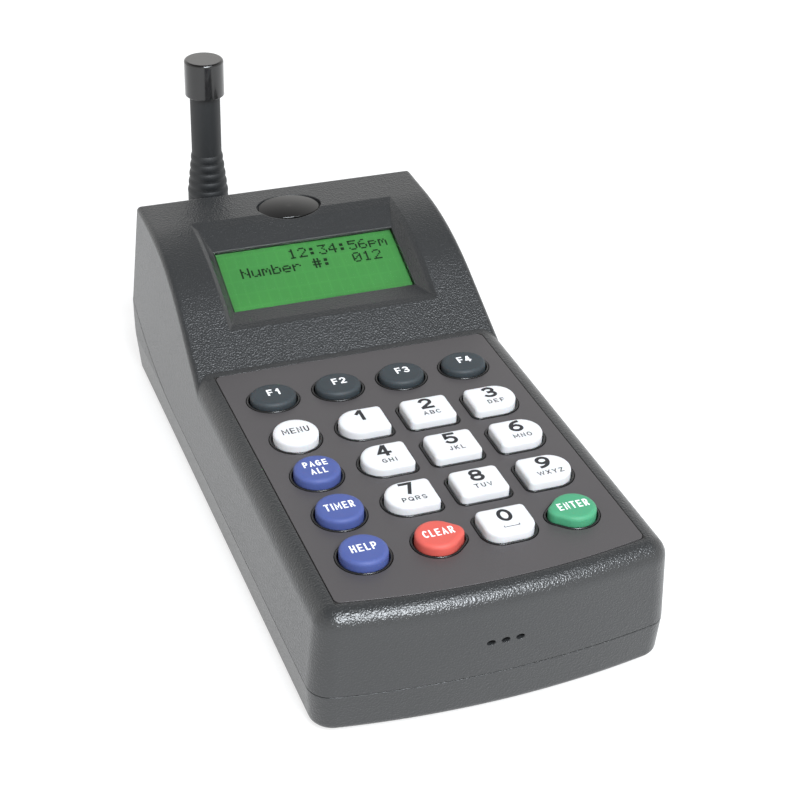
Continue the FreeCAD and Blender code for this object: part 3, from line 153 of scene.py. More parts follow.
def white_tent():
    world = bpy.data.worlds.new("white_tent")
    world.use_nodes = True
    tree = world.node_tree
    tree.nodes.clear()
    direction = add_node(tree, "ShaderNodeTexCoord").outputs["Generated"]
    height = add_node(tree, "ShaderNodeSeparateXYZ", {"Vector": direction}).outputs["Z"]
    light = add_node(tree, "ShaderNodeMapRange", {"Value": height, "From Min": 0.35, "From Max": 0.85,
                                                  "To Min": 1.0, "To Max": 0.2},
                     interpolation_type="SMOOTHSTEP").outputs["Result"]
    sky = add_node(tree, "ShaderNodeBackground", {"Color": linear("#fffefc"), "Strength": light})
    add_node(tree, "ShaderNodeOutputWorld", {"Surface": sky.outputs["Background"]})
    return world


bpy.context.scene.world = white_tent()

# Case halves. Two black ABS mouldings with a spark-eroded texture, snapped tongue to groove and
# held by four screws from below. The texture breaks their sheen into bright grains, which are
# drawn coarser than real ones so that they show.
GRAIN = 0.5
GRAIN_DEPTH = 0.14
CASE_ROUNDING = 0.6
RIMS_HALF_WIDTH = 45.2
RIMS_REAR = 70.4
RIMS_FRONT = -47.5
RIMS_FLOOR = -3.0


def maths(tree, operation, *values):
    return add_node(tree, "ShaderNodeMath", dict(enumerate(values)), operation=operation).outputs[0]


def case_abs():
    material, tree, shader, place = start_material("textured_abs")
    grain = add_node(tree, "ShaderNodeTexVoronoi", {"Vector": place, "Scale": 1000 / GRAIN},
                     feature="SMOOTH_F1").outputs["Distance"]
    cloud = height_noise(tree, place, 38.0, 3.0, 0.5)
    tone = tint(tree, cloud, "#292a2b", "#2f3031")
    # The raised rims round the keys are part of this moulding, but polished bare of texture.
    spot = add_node(tree, "ShaderNodeSeparateXYZ", {"Vector": place})
    across = maths(tree, "ABSOLUTE", spot.outputs["X"])
    inside = maths(tree, "LESS_THAN", across, RIMS_HALF_WIDTH / 1000)
    ahead = maths(tree, "LESS_THAN", spot.outputs["Y"], deck(0, RIMS_REAR, 0).y)
    behind = maths(tree, "GREATER_THAN", spot.outputs["Y"], deck(0, RIMS_FRONT, 0).y)
    above = maths(tree, "GREATER_THAN", spot.outputs["Z"], deck(0, 0, RIMS_FLOOR).z)
    rim = inside
    for part in (ahead, behind, above):
        rim = maths(tree, "MULTIPLY", rim, part)
    polished = add_node(tree, "ShaderNodeMix", {"Factor": rim, "A": tone, "B": linear("#141415")},
                        data_type="RGBA")
    gloss = add_node(tree, "ShaderNodeMix", {"Factor": rim, "A": 0.28, "B": 0.2})
    rounded = add_node(tree, "ShaderNodeBevel", {"Radius": CASE_ROUNDING / 1000}, samples=6)
    relief = add_node(tree, "ShaderNodeMix", {"Factor": rim, "A": 1.0, "B": 0.0})
    bump = add_node(tree, "ShaderNodeBump", {"Strength": relief.outputs["Result"], "Height": grain,
                                             "Distance": GRAIN_DEPTH / 1000,
                                             "Normal": rounded.outputs["Normal"]})
    tree.links.new(polished.outputs["Result"], shader.inputs["Base Color"])
    tree.links.new(gloss.outputs["Result"], shader.inputs["Roughness"])
    tree.links.new(bump.outputs["Normal"], shader.inputs["Normal"])
    shader.inputs["IOR"].default_value = 1.58
    return material


textured_abs = case_abs()
dress(nodes["upper_case"], textured_abs)
dress(nodes["lower_case"], textured_abs)

# Feet and case screws. Die-cut rubber pads pressed into round pockets, and zinc-plated pan head
# screws at the bottom of deep holes.


def die_cut_rubber():
    material, tree, shader, place = start_material("die_cut_rubber")
    crumb = height_noise(tree, place, 0.9, 4.0, 0.7)
    tone = tint(tree, crumb, "#141414", "#222222")
    bump = add_node(tree, "ShaderNodeBump", {"Strength": 0.4, "Distance": 0.00008, "Height": crumb})
    tree.links.new(tone, shader.inputs["Base Color"])
    tree.links.new(bump.outputs["Normal"], shader.inputs["Normal"])
    shader.inputs["Roughness"].default_value = 0.78
    return material


def ramp(tree, factor, low, high):
    """A value that goes from low to high with the factor."""
    return add_node(tree, "ShaderNodeMapRange", {"Value": factor, "To Min": low,
                                                 "To Max": high}).outputs["Result"]


def plated_metal(name, dark, light, roughness, size):
    """A metal finish with fine rubbing marks of about size millimetres."""
    material, tree, shader, place = start_material(name)
    marks = height_noise(tree, place, size, 5.0, 0.65)
    tone = tint(tree, marks, dark, light)
    rough = ramp(tree, marks, roughness * 0.7, roughness * 1.3)
    bump = add_node(tree, "ShaderNodeBump", {"Strength": 0.12, "Distance": 0.00002, "Height": marks})
    tree.links.new(tone, shader.inputs["Base Color"])
    tree.links.new(rough, shader.inputs["Roughness"])
    tree.links.new(bump.outputs["Normal"], shader.inputs["Normal"])
    shader.inputs["Metallic"].default_value = 1.0
    return material


foot_rubber = die_cut_rubber()
for number in (1, 2, 3, 4):
    dress(nodes["foot_%d" % number], foot_rubber)
zinc_plate = plated_metal("zinc_plated_steel", "#8f8f8c", "#b4b4b0", 0.34, 0.6)
for name in ("case_screws", "board_screws", "display_screws"):
    dress(nodes[name], zinc_plate)

# Circuit boards. Glass-fibre laminate under green solder mask, with black moulded chips, a tinned
# radio can, nylon headers and a coin cell in a bent brass clip.
TRACK_PITCHES = (("X", 2.54), ("Y", 1.27))
TRACK_HALF_WIDTH = 0.2


def solder_mask():
    material, tree, shader, place = start_material("green_solder_mask")
    spot = add_node(tree, "ShaderNodeSeparateXYZ", {"Vector": place})
    lines = []
    for axis, pitch in TRACK_PITCHES:
        wave = maths(tree, "PINGPONG", spot.outputs[axis], pitch / 1000)
        lines.append(maths(tree, "LESS_THAN", wave, TRACK_HALF_WIDTH / 1000))
    regions = height_noise(tree, place, 14.0, 0.0, 0.5)
    which = maths(tree, "GREATER_THAN", regions, 0.5)
    trace = add_node(tree, "ShaderNodeMix", {"Factor": which, "A": lines[0], "B": lines[1]})
    tone = tint(tree, trace.outputs["Result"], "#0f4a24", "#1d6b38")
    bump = add_node(tree, "ShaderNodeBump", {"Strength": 0.5, "Distance": 0.00003,
                                             "Height": trace.outputs["Result"]})
    tree.links.new(tone, shader.inputs["Base Color"])
    tree.links.new(bump.outputs["Normal"], shader.inputs["Normal"])
    shader.inputs["Roughness"].default_value = 0.3
    return material


def moulded(name, dark, light, roughness, size, relief):
    """A moulded plastic or rubber with a faint surface grain of about size millimetres."""
    material, tree, shader, place = start_material(name)
    grain = height_noise(tree, place, size, 3.0, 0.55)
    cloud = height_noise(tree, place, size * 40, 2.0, 0.5)
    tone = tint(tree, cloud, dark, light)
    rough = ramp(tree, cloud, roughness * 0.92, roughness * 1.08)
    bump = add_node(tree, "ShaderNodeBump", {"Strength": 0.3, "Distance": relief / 1000, "Height": grain})
    tree.links.new(tone, shader.inputs["Base Color"])
    tree.links.new(rough, shader.inputs["Roughness"])
    tree.links.new(bump.outputs["Normal"], shader.inputs["Normal"])
    return material


laminate = solder_mask()
for name in ("main_board", "display_board"):
    dress(nodes[name], laminate)
chip_epoxy = moulded("moulded_epoxy", "#121212", "#1c1c1c", 0.5, 0.3, 0.02)
for name in ("board_chips", "ribbon_header", "sounder"):
    dress(nodes[name], chip_epoxy)
white_nylon = moulded("white_nylon", "#d9d6c9", "#e4e2d8", 0.45, 0.4, 0.01)
for name in ("power_header", "display_backlight"):
    dress(nodes[name], white_nylon)
dress(nodes["radio_module"], plated_metal("tinned_steel", "#a3a39e", "#c9c9c4", 0.26, 2.0))
dress(nodes["battery_clip"], plated_metal("spring_brass", "#a8873f", "#cdb06a", 0.3, 0.8))
dress(nodes["clock_battery"], plated_metal("cell_steel", "#9a9a98", "#bcbcb8", 0.3, 0.9))
dress(nodes["display_ribbon"], moulded("ribbon_vinyl", "#77777a", "#8c8c90", 0.42, 0.6, 0.02))
lead_vinyl = moulded("lead_vinyl", "#151515", "#202020", 0.4, 0.5, 0.02)
for name in ("antenna_lead", "power_lead"):
    dress(nodes[name], lead_vinyl)

# Display module. A standard cell of 16 by 4 characters: dark dots on a green backlit ground,
# behind a black pressed bezel. Cells that are off show as faintly darker blocks.
DISPLAY_TILT = math.radians(22.2)
DISPLAY_ORIGIN = (0.0, 107.554, 11.47)
VIEW_CENTRE = (0.4, 0.8)
GLASS_FACE = -1.4
COLUMN_PITCH = 3.55
LINE_PITCH = 5.35
DOT_PITCH = 0.6
DOT_SIZE = 0.6
DOT_LIFT = 0.03
CELL_WIDTH = 2.95
CELL_HEIGHT = 4.75
CELL_SHADE = 0.22
CELLS_ACROSS = 16
CELLS_UP = 4
DOTS_ACROSS = 5
DOTS_UP = 8
# Each character is its upper seven rows of dots, from the top, as the bits of hex numbers. The
# lowest row of a cell stays free.
GLYPHS = {
    "0": "0E 11 13 15 19 11 0E", "1": "04 0C 04 04 04 04 0E", "2": "0E 11 01 02 04 08 1F",
    "3": "1F 02 04 02 01 11 0E", "4": "02 06 0A 12 1F 02 02", "5": "1F 10 1E 01 01 11 0E",
    "6": "06 08 10 1E 11 11 0E", "7": "1F 01 02 04 08 08 08", "8": "0E 11 11 0E 11 11 0E",
    "9": "0E 11 11 0F 01 02 0C", ":": "00 0C 0C 00 0C 0C 00", "#": "0A 0A 1F 0A 1F 0A 0A",
    "a": "00 00 0E 01 0F 11 0F", "m": "00 00 1A 15 15 11 11", "p": "00 00 1E 11 1E 10 10",
    "N": "11 11 19 15 13 11 11", "u": "00 00 11 11 11 13 0D", "b": "10 10 16 19 11 11 1E",
    "e": "00 00 0E 11 1F 10 0E", "r": "00 00 16 19 10 10 10", " ": "00 00 00 00 00 00 00"}
LINES = ((6, "12:34:56pm"), (1, "Number #:  012"))


def on_display(across, up, out):
    """A place in front of the display glass, measured from the window's middle in millimetres."""
    x, y, z = DISPLAY_ORIGIN
    return deck(x + across, y + up * math.cos(DISPLAY_TILT) - out * math.sin(DISPLAY_TILT),
                z + up * math.sin(DISPLAY_TILT) + out * math.cos(DISPLAY_TILT))


def lit_dots():
    places = []
    for line_number, (column, text) in enumerate(LINES):
        for character in text:
            rows = [int(row, 16) for row in GLYPHS[character].split()]
            left = VIEW_CENTRE[0] + (column - (CELLS_ACROSS - 1) / 2) * COLUMN_PITCH
            top = VIEW_CENTRE[1] + ((CELLS_UP - 1) / 2 - line_number) * LINE_PITCH
            left -= (DOTS_ACROSS - 1) / 2 * DOT_PITCH
            top += (DOTS_UP - 1) / 2 * DOT_PITCH
            for down, row in enumerate(rows):
                for right in range(DOTS_ACROSS):
                    if row & (1 << DOTS_ACROSS - 1 - right):
                        places.append(on_display(left + right * DOT_PITCH, top - down * DOT_PITCH,
                                                 GLASS_FACE + DOT_LIFT))
            column += 1
    return places


def scatter_tree(name, build_shape):
    """A node tree that puts one small shape on every point of a mesh and paints it."""
    tree = bpy.data.node_groups.new(name, "GeometryNodeTree")
    face = tree.interface
    face.new_socket("Geometry", in_out="INPUT", socket_type="NodeSocketGeometry")
    face.new_socket("Geometry", in_out="OUTPUT", socket_type="NodeSocketGeometry")
    width = face.new_socket("Width", in_out="INPUT", socket_type="NodeSocketFloat")
    depth = face.new_socket("Depth", in_out="INPUT", socket_type="NodeSocketFloat")
    tilt = face.new_socket("Tilt", in_out="INPUT", socket_type="NodeSocketVector")
    paint = face.new_socket("Paint", in_out="INPUT", socket_type="NodeSocketMaterial")
    source = add_node(tree, "NodeGroupInput")
    shape = build_shape(tree, source)
    spread = add_node(tree, "GeometryNodeInstanceOnPoints", {"Points": source.outputs["Geometry"],
                      "Instance": shape, "Rotation": source.outputs["Tilt"]})
    real = add_node(tree, "GeometryNodeRealizeInstances", {"Geometry": spread.outputs["Instances"]})
    painted = add_node(tree, "GeometryNodeSetMaterial", {"Geometry": real.outputs["Geometry"],
                       "Material": source.outputs["Paint"]})
    add_node(tree, "NodeGroupOutput", {"Geometry": painted.outputs["Geometry"]})
    return tree, {"Width": width.identifier, "Depth": depth.identifier, "Tilt": tilt.identifier,
                  "Paint": paint.identifier}


def scattered(name, places, tree, sockets, values):
    """Runs a scatter tree on some points and returns the result as a plain mesh piece."""
    carrier = mesh_piece(name + "_points", places, [])
    modifier = carrier.modifiers.new("scatter", "NODES")
    modifier.node_group = tree
    for key, value in values.items():
        modifier[sockets[key]] = value
    ready = carrier.evaluated_get(bpy.context.evaluated_depsgraph_get())
    mesh = bpy.data.meshes.new_from_object(ready)
    mesh.name = name
    carrier.modifiers.clear()
    bpy.data.objects.remove(carrier)
    piece = bpy.data.objects.new(name, mesh)
    bpy.context.scene.collection.objects.link(piece)
    return piece


def dot_shape(tree, source):
    return add_node(tree, "GeometryNodeMeshGrid", {"Size X": source.outputs["Width"],
                    "Size Y": source.outputs["Depth"], "Vertices X": 2, "Vertices Y": 2}).outputs["Mesh"]


def dark_dots():
    material, tree, shader, place = start_material("liquid_crystal_dots")
    patch = height_noise(tree, place, 3.0, 1.0, 0.5)
    tone = tint(tree, patch, "#04180a", "#082410")
    tree.links.new(tone, shader.inputs["Base Color"])
    shader.inputs["Roughness"].default_value = 0.5
    shader.inputs["Specular IOR Level"].default_value = 0.1
    return material


def backlit_cell():
    material, tree, shader, place = start_material("backlit_green_cell")
    middle = on_display(VIEW_CENTRE[0], VIEW_CENTRE[1], GLASS_FACE)
    flat = add_node(tree, "ShaderNodeMapping", {"Vector": place, "Location": middle,
                    "Rotation": (DISPLAY_TILT, 0, 0)}, vector_type="TEXTURE")
    spot = add_node(tree, "ShaderNodeSeparateXYZ", {"Vector": flat.outputs["Vector"]})
    # A place is inside a cell's block if it is near the middle of its own cell, across and up.
    inside = None
    for axis, pitch, size in (("X", COLUMN_PITCH, CELL_WIDTH), ("Y", LINE_PITCH, CELL_HEIGHT)):
        part = maths(tree, "ADD", spot.outputs[axis], CELLS_ACROSS / 2 * pitch / 1000)
        part = maths(tree, "FLOORED_MODULO", part, pitch / 1000)
        part = maths(tree, "ADD", part, -pitch / 2000)
        part = maths(tree, "ABSOLUTE", part)
        part = maths(tree, "LESS_THAN", part, size / 2000)
        if inside is not None:
            part = maths(tree, "MULTIPLY", inside, part)
        inside = part
    faint = maths(tree, "MULTIPLY", inside, CELL_SHADE)
    # Soft lighter patches in the green ground, and in its glow, are a painted reflection of the smudged
    # window above it.
    painted_reflection_patches = height_noise(tree, place, 26.0, 2.0, 0.5)
    ground = tint(tree, painted_reflection_patches, "#327a39", "#3f893c")
    tone = add_node(tree, "ShaderNodeMix", {"Factor": faint, "A": ground, "B": linear("#2a6e31")},
                    data_type="RGBA").outputs["Result"]
    tree.links.new(tone, shader.inputs["Base Color"])
    tree.links.new(tone, shader.inputs["Emission Color"])
    shader.inputs["Emission Strength"].default_value = 0.42
    shader.inputs["Roughness"].default_value = 0.5
    return material


dot_tree, dot_sockets = scatter_tree("display_dots", dot_shape)
characters = scattered("display_characters", lit_dots(), dot_tree, dot_sockets,
                       {"Width": DOT_SIZE / 1000, "Depth": DOT_SIZE / 1000, "Tilt": (DISPLAY_TILT, 0, 0),
                        "Paint": dark_dots()})
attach(characters, "case")
dress(nodes["display_glass"], backlit_cell())
dress(nodes["display_bezel"], moulded("black_enamelled_steel", "#0b0b0b", "#121212", 0.4, 0.4, 0.01))

# Display window. A clear acrylic sheet, cut flat and bonded behind the case's sloping frame. It
# has a soft reflection and fine rubbing marks.


def clear_acrylic():
    material, tree, shader, place = start_material("clear_acrylic")
    rubs = height_noise(tree, place, 9.0, 4.0, 0.6)
    rough = ramp(tree, rubs, 0.0, 0.03)
    tree.links.new(rough, shader.inputs["Roughness"])
    shader.inputs["Base Color"].default_value = linear("#fbfffb")
    shader.inputs["Transmission Weight"].default_value = 1.0
    shader.inputs["IOR"].default_value = 1.49
    return material


dress(nodes["display_window"], clear_acrylic())

# Keypad overlay. A satin polyester film, printed warm grey from behind and stuck in a shallow
# recess of the deck. The film has a fine matt grain.
FILM_ROUNDING = 0.3


def satin_film():
    material, tree, shader, place = start_material("satin_polyester_film")
    grain = height_noise(tree, place, 0.25, 2.0, 0.5)
    print_cloud = height_noise(tree, place, 30.0, 3.0, 0.55)
    tone = tint(tree, print_cloud, "#454243", "#4b4849")
    rough = ramp(tree, print_cloud, 0.38, 0.46)
    rounded = add_node(tree, "ShaderNodeBevel", {"Radius": FILM_ROUNDING / 1000}, samples=6)
    bump = add_node(tree, "ShaderNodeBump", {"Strength": 0.25, "Distance": 0.00001, "Height": grain,
                                             "Normal": rounded.outputs["Normal"]})
    tree.links.new(tone, shader.inputs["Base Color"])
    tree.links.new(rough, shader.inputs["Roughness"])
    tree.links.new(bump.outputs["Normal"], shader.inputs["Normal"])
    return material


dress(nodes["keypad_overlay"], satin_film())

# Keys. Moulded silicone rubber caps with soft edges, each standing in a polished rim, over a thin
# silicone mat on the board. Silicone is matt, with a faint even sheen.
CAP_TOP = 3.1
OVAL_TOP = 2.3
CAP_ROUNDING = 1.4


def silicone(name, dark, light):
    material, tree, shader, place = start_material(name)
    grain = height_noise(tree, place, 0.35, 2.0, 0.5)
    cloud = height_noise(tree, place, 7.0, 2.0, 0.5)
    tone = tint(tree, cloud, dark, light)
    rounded = add_node(tree, "ShaderNodeBevel", {"Radius": CAP_ROUNDING / 1000}, samples=8)
    bump = add_node(tree, "ShaderNodeBump", {"Strength": 0.2, "Distance": 0.00001, "Height": grain,
                                             "Normal": rounded.outputs["Normal"]})
    tree.links.new(tone, shader.inputs["Base Color"])
    tree.links.new(bump.outputs["Normal"], shader.inputs["Normal"])
    shader.inputs["Roughness"].default_value = 0.55
    shader.inputs["IOR"].default_value = 1.41
    shader.inputs["Subsurface Weight"].default_value = 0.06
    shader.inputs["Subsurface Scale"].default_value = 0.0006
    return material


white_silicone = silicone("white_silicone", "#d2d2d4", "#d8d8da")
blue_silicone = silicone("blue_silicone", "#435089", "#4a5891")
red_silicone = silicone("red_silicone", "#c3534a", "#ca5950")
green_silicone = silicone("green_silicone", "#428e69", "#489670")
slate_silicone = silicone("slate_silicone", "#30363a", "#373d41")
KEY_FINISHES = {"key_side_2": blue_silicone, "key_side_3": blue_silicone, "key_side_4": blue_silicone,
                "key_clear": red_silicone, "key_enter": green_silicone, "key_f1": slate_silicone,
                "key_f2": slate_silicone, "key_f3": slate_silicone, "key_f4": slate_silicone}
for name in [name for name in nodes if name.startswith("key_")]:
    dress(nodes[name], KEY_FINISHES.get(name, white_silicone))
dress(nodes["keypad_mat"], silicone("grey_silicone", "#58585a", "#606062"))

# Key legends. Ink screen-printed on the caps: heavy digits with small letter groups, and plain
# words on the round keys. The ink film is a few hundredths of a millimetre thick.
INK_LIFT = 0.03
STROKE_STEP = 0.003
ARC_STEP = 15
MITRE_LIMIT = 0.5
# Width, height, pen weight and gap of the signs in a text.
DIGIT_PEN = (4.3, 5.6, 1.1, 0.0)
LETTER_PEN = (1.5, 2.0, 0.32, 0.5)
SPACE_PEN = (4.7, 0.8, 0.25, 0.0)
FUNCTION_PEN = (2.0, 3.4, 0.6, 0.6)
WORD_PEN = (1.52, 3.2, 0.48, 0.42)
LOW_WORD_PEN = (1.52, 2.8, 0.48, 0.42)
WIDE_WORD_PEN = (1.65, 3.2, 0.48, 0.42)
LIGHT_WORD_PEN = (1.7, 2.9, 0.4, 0.42)
# Places of texts, to the right of a key's middle and towards the display.
DIGIT_PLACE = (0.0, 2.1)
ZERO_PLACE = (0.0, 1.8)
LETTER_PLACE = (0.2, -2.9)
SPACE_PLACE = (0.2, -3.2)
FUNCTION_PLACE = (0.5, 0.9)
WORD_PLACE = (0.0, 0.3)
COLUMNS = (-31.35, -10.45, 10.45, 31.35)
ROWS = (52.1, 29.2, 9.2, -10.8, -30.8)


def arc(x, y, half_width, half_height, start, end):
    """Points along an ellipse, from start to end degrees."""
    count = round(abs(end - start) / ARC_STEP)
    turns = [math.radians(start + (end - start) * i / count) for i in range(count + 1)]
    return [(x + half_width * math.cos(turn), y + half_height * math.sin(turn)) for turn in turns]


# Each sign is a list of pen strokes in a box one wide and one tall, round its middle. The square
# bracket is the lying one that stands for a space.
LOOP_P = [(-0.42, 0.5), (0.06, 0.5)] + arc(0.06, 0.22, 0.4, 0.28, 75, -75) + [(0.06, -0.06), (-0.42, -0.06)]
SIX = [arc(0, -0.2, 0.5, 0.3, 0, 360), arc(0.42, -0.16, 0.92, 0.66, 178, 92)]
STROKES = {
    "0": [arc(0, 0, 0.5, 0.5, 0, 360)],
    "1": [[(-0.3, 0.2), (0.02, 0.47)], [(0.12, 0.5), (0.12, -0.5)]],
    "2": [arc(0, 0.2, 0.48, 0.3, 160, -35) + [(-0.42, -0.42)], [(-0.46, -0.5), (0.48, -0.5)]],
    "3": [arc(-0.04, 0.25, 0.46, 0.25, 145, -90), arc(-0.04, -0.24, 0.52, 0.26, 90, -145)],
    "4": [[(0.06, 0.5), (-0.5, -0.24), (0.5, -0.24)], [(0.2, 0.5), (0.2, -0.5)]],
    "5": [[(0.42, 0.5), (-0.36, 0.5), (-0.4, 0.06)] + arc(-0.02, -0.18, 0.5, 0.32, 125, -145)],
    "6": SIX,
    "7": [[(-0.5, 0.5), (0.42, 0.5), (-0.06, -0.5)]],
    "8": [arc(0, 0.25, 0.44, 0.25, 0, 360), arc(0, -0.23, 0.5, 0.27, 0, 360)],
    "9": [[(-x, -y) for x, y in stroke] for stroke in SIX],
    "A": [[(-0.5, -0.5), (0, 0.5), (0.5, -0.5)], [(-0.28, -0.2), (0.28, -0.2)]],
    "B": [[(-0.42, -0.5), (-0.42, 0.5)], LOOP_P,
          arc(0.08, -0.26, 0.42, 0.24, 75, -75) + [(0.08, -0.5), (-0.42, -0.5)]],
    "C": [arc(0.06, 0, 0.54, 0.5, 50, 310)],
    "D": [[(-0.44, -0.5), (-0.44, 0.5)], [(-0.4, 0.5), (-0.05, 0.5)] + arc(-0.05, 0, 0.5, 0.5, 75, -75)
          + [(-0.05, -0.5), (-0.4, -0.5)]],
    "E": [[(0.42, 0.5), (-0.42, 0.5), (-0.42, -0.5), (0.42, -0.5)], [(-0.3, 0), (0.34, 0)]],
    "F": [[(-0.4, -0.5), (-0.4, 0.5)], [(-0.3, 0.5), (0.46, 0.5)], [(-0.3, 0.0), (0.36, 0.0)]],
    "G": [arc(0.02, 0, 0.52, 0.5, 50, 330), [(0.46, -0.4), (0.46, -0.04), (0.14, -0.04)]],
    "H": [[(-0.44, -0.5), (-0.44, 0.5)], [(0.44, -0.5), (0.44, 0.5)], [(-0.34, 0), (0.34, 0)]],
    "I": [[(0, -0.5), (0, 0.5)]],
    "J": [[(0.34, 0.5), (0.34, -0.2)] + arc(-0.04, -0.2, 0.38, 0.3, -15, -160)],
    "K": [[(-0.42, -0.5), (-0.42, 0.5)], [(0.4, 0.5), (-0.34, -0.08)], [(-0.1, 0.1), (0.44, -0.5)]],
    "L": [[(-0.4, 0.5), (-0.4, -0.5), (0.44, -0.5)]],
    "M": [[(-0.5, -0.5), (-0.5, 0.5), (0, -0.25), (0.5, 0.5), (0.5, -0.5)]],
    "N": [[(-0.44, -0.5), (-0.44, 0.5), (0.44, -0.5), (0.44, 0.5)]],
    "O": [arc(0, 0, 0.54, 0.5, 0, 360)],
    "P": [[(-0.42, -0.5), (-0.42, 0.5)], LOOP_P],
    "Q": [arc(0, 0, 0.54, 0.5, 0, 360), [(0.14, -0.2), (0.46, -0.54)]],
    "R": [[(-0.42, -0.5), (-0.42, 0.5)], LOOP_P, [(0.06, -0.1), (0.44, -0.5)]],
    "S": [arc(0, 0.25, 0.44, 0.25, 35, 255) + arc(0, -0.25, 0.46, 0.25, 75, -145)],
    "T": [[(-0.48, 0.5), (0.48, 0.5)], [(0, 0.4), (0, -0.5)]],
    "U": [[(-0.44, 0.5), (-0.44, -0.08)] + arc(0, -0.08, 0.44, 0.42, 195, 345)
          + [(0.44, -0.08), (0.44, 0.5)]],
    "V": [[(-0.5, 0.5), (0, -0.5), (0.5, 0.5)]],
    "W": [[(-0.54, 0.5), (-0.28, -0.5), (0, 0.4), (0.28, -0.5), (0.54, 0.5)]],
    "X": [[(-0.46, 0.5), (0.46, -0.5)], [(-0.46, -0.5), (0.46, 0.5)]],
    "Y": [[(-0.48, 0.5), (0, -0.04), (0.48, 0.5)], [(0, -0.1), (0, -0.5)]],
    "Z": [[(-0.42, 0.5), (0.44, 0.5), (-0.44, -0.5), (0.46, -0.5)]],
    "[": [[(-0.5, 0.5), (-0.5, -0.5), (0.5, -0.5), (0.5, 0.5)]]}
WIDE_SIGNS = {"I": 0.4, "J": 0.8, "L": 0.85, "M": 1.2, "W": 1.35}


def strip_sides(points, weight):
    """The left and right sides of a pen stroke of some weight, with its ends made square."""
    closed = (points[0] - points[-1]).length < weight / 100
    line = points[:-1] if closed else points
    if not closed:
        line = [line[0] + (line[0] - line[1]).normalized() * weight / 2] + line[1:-1] + [
            line[-1] + (line[-1] - line[-2]).normalized() * weight / 2]
    sides = []
    for i, here in enumerate(line):
        back = (here - line[i - 1]).normalized() if closed or i > 0 else None
        ahead = (line[(i + 1) % len(line)] - here).normalized() if closed or i + 1 < len(line) else None
        run = ((back or ahead) + (ahead or back)).normalized()
        reach = weight / 2 / max(run.dot(ahead or back), MITRE_LIMIT)
        across = Vector((-run.y, run.x)) * reach
        sides.append((here + across, here - across))
    return sides + sides[:1] if closed else sides


def pen_text(text, width, height, weight, gap):
    """The text as flat pen strokes round its own middle, each a little above the last."""
    whole = bmesh.new()
    widths = [width * WIDE_SIGNS.get(sign, 1.0) for sign in text]
    left_end = -(sum(widths) + gap * (len(text) - 1)) / 2
    for sign, wide in zip(text, widths):
        for layer, stroke in enumerate(STROKES[sign]):
            points = [Vector((left_end + wide / 2 + x * (wide - weight), y * (height - weight)))
                      for x, y in stroke]
            rungs = [[whole.verts.new((side.x / 1000, side.y / 1000, layer * STROKE_STEP / 1000))
                      for side in pair] for pair in strip_sides(points, weight)]
            for (left, right), (next_left, next_right) in zip(rungs, rungs[1:]):
                whole.faces.new((left, right, next_right, next_left))
        left_end += wide + gap
    mesh = bpy.data.meshes.new("pen_text")
    whole.to_mesh(mesh)
    whole.free()
    return mesh


def printing_ink(name, dark, light):
    material, tree, shader, place = start_material(name)
    wear = height_noise(tree, place, 0.5, 4.0, 0.6)
    tone = tint(tree, wear, dark, light)
    tree.links.new(tone, shader.inputs["Base Color"])
    shader.inputs["Roughness"].default_value = 0.42
    return material


black_ink = printing_ink("black_screen_ink", "#141519", "#222328")
white_ink = printing_ink("white_screen_ink", "#e8e8ea", "#f6f6f8")


def print_legend(key, ink, top, marks):
    """Prints marks on one key: each is a text, its pen and its place from the key's middle."""
    column, row, shift = KEY_PLACES[key]
    whole = bmesh.new()
    for text, pen, (right, up) in marks:
        mesh = pen_text(text, *pen)
        place = deck(COLUMNS[column] + shift + right, ROWS[row] + up, top + INK_LIFT)
        mesh.transform(Matrix.Translation(place))
        whole.from_mesh(mesh)
        bpy.data.meshes.remove(mesh)
    mesh = bpy.data.meshes.new("legend_" + key)
    whole.to_mesh(mesh)
    whole.free()
    piece = bpy.data.objects.new("legend_" + key, mesh)
    bpy.context.scene.collection.objects.link(piece)
    dress(piece, ink)
    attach(piece, key)


KEY_PLACES = {"key_clear": (1, 4, 0.4), "key_0": (2, 4, 0.0), "key_enter": (3, 4, -0.4)}
for index in range(4):
    KEY_PLACES["key_f%d" % (index + 1)] = (index, 0, 0.0)
    KEY_PLACES["key_side_%d" % (index + 1)] = (0, index + 1, 0.0)
for index in range(9):
    KEY_PLACES["key_%d" % (index + 1)] = (index % 3 + 1, index // 3 + 1, 0.0)
LETTERS = ("", "ABC", "DEF", "GHI", "JKL", "MNO", "PQRS", "TUV", "WXYZ")
for index, letters in enumerate(LETTERS):
    marks = [(str(index + 1), DIGIT_PEN, DIGIT_PLACE)]
    if letters:
        marks.append((letters, LETTER_PEN, LETTER_PLACE))
    print_legend("key_%d" % (index + 1), black_ink, CAP_TOP, marks)
print_legend("key_0", black_ink, CAP_TOP, [("0", DIGIT_PEN, ZERO_PLACE), ("[", SPACE_PEN, SPACE_PLACE)])
for index in range(4):
    print_legend("key_f%d" % (index + 1), white_ink, OVAL_TOP,
                 [("F%d" % (index + 1), FUNCTION_PEN, FUNCTION_PLACE)])
WORDS = (
    ("key_side_1", black_ink, [("MENU", LIGHT_WORD_PEN, WORD_PLACE)]),
    ("key_side_2", white_ink, [("PAGE", LOW_WORD_PEN, (0.0, 2.1)), ("ALL", LOW_WORD_PEN, (0.0, -1.7))]),
    ("key_side_3", white_ink, [("TIMER", WORD_PEN, WORD_PLACE)]),
    ("key_side_4", white_ink, [("HELP", WIDE_WORD_PEN, WORD_PLACE)]),
    ("key_clear", white_ink, [("CLEAR", WORD_PEN, (0.3, 0.3))]),
    ("key_enter", white_ink, [("ENTER", WORD_PEN, (-0.3, 0.3))]))
for key, ink, marks in WORDS:
    print_legend(key, ink, CAP_TOP, marks)

# Badge. A domed oval of polished black acrylic, left blank, glued in a pocket of the head's top.


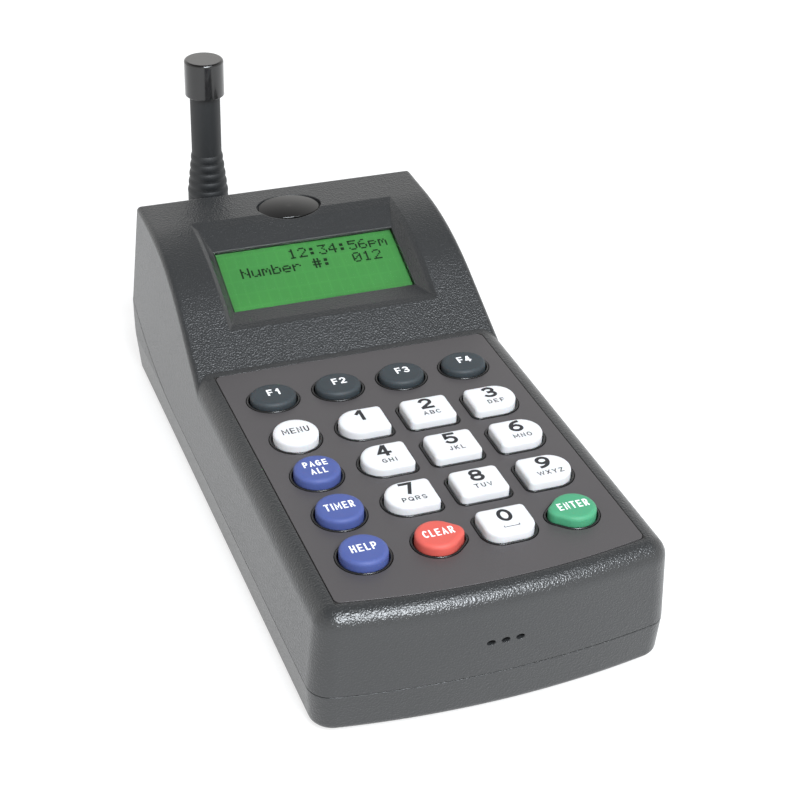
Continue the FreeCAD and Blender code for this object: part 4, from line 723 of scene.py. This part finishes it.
def polished_acrylic(name, dark, light, roughness):
    material, tree, shader, place = start_material(name)
    haze = height_noise(tree, place, 4.0, 3.0, 0.5)
    tone = tint(tree, haze, dark, light)
    rough = ramp(tree, haze, roughness * 0.6, roughness * 1.4)
    tree.links.new(tone, shader.inputs["Base Color"])
    tree.links.new(rough, shader.inputs["Roughness"])
    shader.inputs["Coat Weight"].default_value = 0.6
    shader.inputs["Coat Roughness"].default_value = 0.04
    return material


dress(nodes["badge"], polished_acrylic("polished_acrylic", "#060607", "#0a0a0b", 0.08))

# Antenna jack and power inlet. A nickel-plated brass bulkhead jack with its nut and washer inside,
# and a black moulded inlet for a barrel plug.
bright_nickel = plated_metal("bright_nickel", "#b3b0a8", "#cfccc4", 0.2, 0.7)
for name in ("antenna_jack", "jack_washer", "jack_nut", "bayonet_ring", "plug_shell", "power_nut"):
    dress(nodes[name], bright_nickel)
dress(nodes["antenna_core"], plated_metal("drawn_steel", "#8d8d8a", "#a6a6a2", 0.35, 0.5))
dress(nodes["power_jack"], moulded("moulded_nylon", "#141415", "#1e1e1f", 0.42, 0.4, 0.02))

# Antenna. A soft black rubber sheath moulded over a whip, with ribs where it bends, and a glossy
# moulded cap pushed over its end.


def sheath_rubber():
    material, tree, shader, place = start_material("moulded_sheath_rubber")
    grain = height_noise(tree, place, 0.3, 3.0, 0.6)
    streak = add_node(tree, "ShaderNodeMapping", {"Vector": place, "Scale": (1.0, 1.0, 0.12)})
    streaks = height_noise(tree, streak.outputs["Vector"], 2.2, 3.0, 0.6)
    tone = tint(tree, streaks, "#121416", "#1c1e20")
    rough = ramp(tree, streaks, 0.48, 0.6)
    bump = add_node(tree, "ShaderNodeBump", {"Strength": 0.25, "Distance": 0.00003, "Height": grain})
    tree.links.new(tone, shader.inputs["Base Color"])
    tree.links.new(rough, shader.inputs["Roughness"])
    tree.links.new(bump.outputs["Normal"], shader.inputs["Normal"])
    return material


dress(nodes["antenna_sheath"], sheath_rubber())
dress(nodes["antenna_cap"], polished_acrylic("glossy_cap_vinyl", "#050506", "#09090a", 0.2))
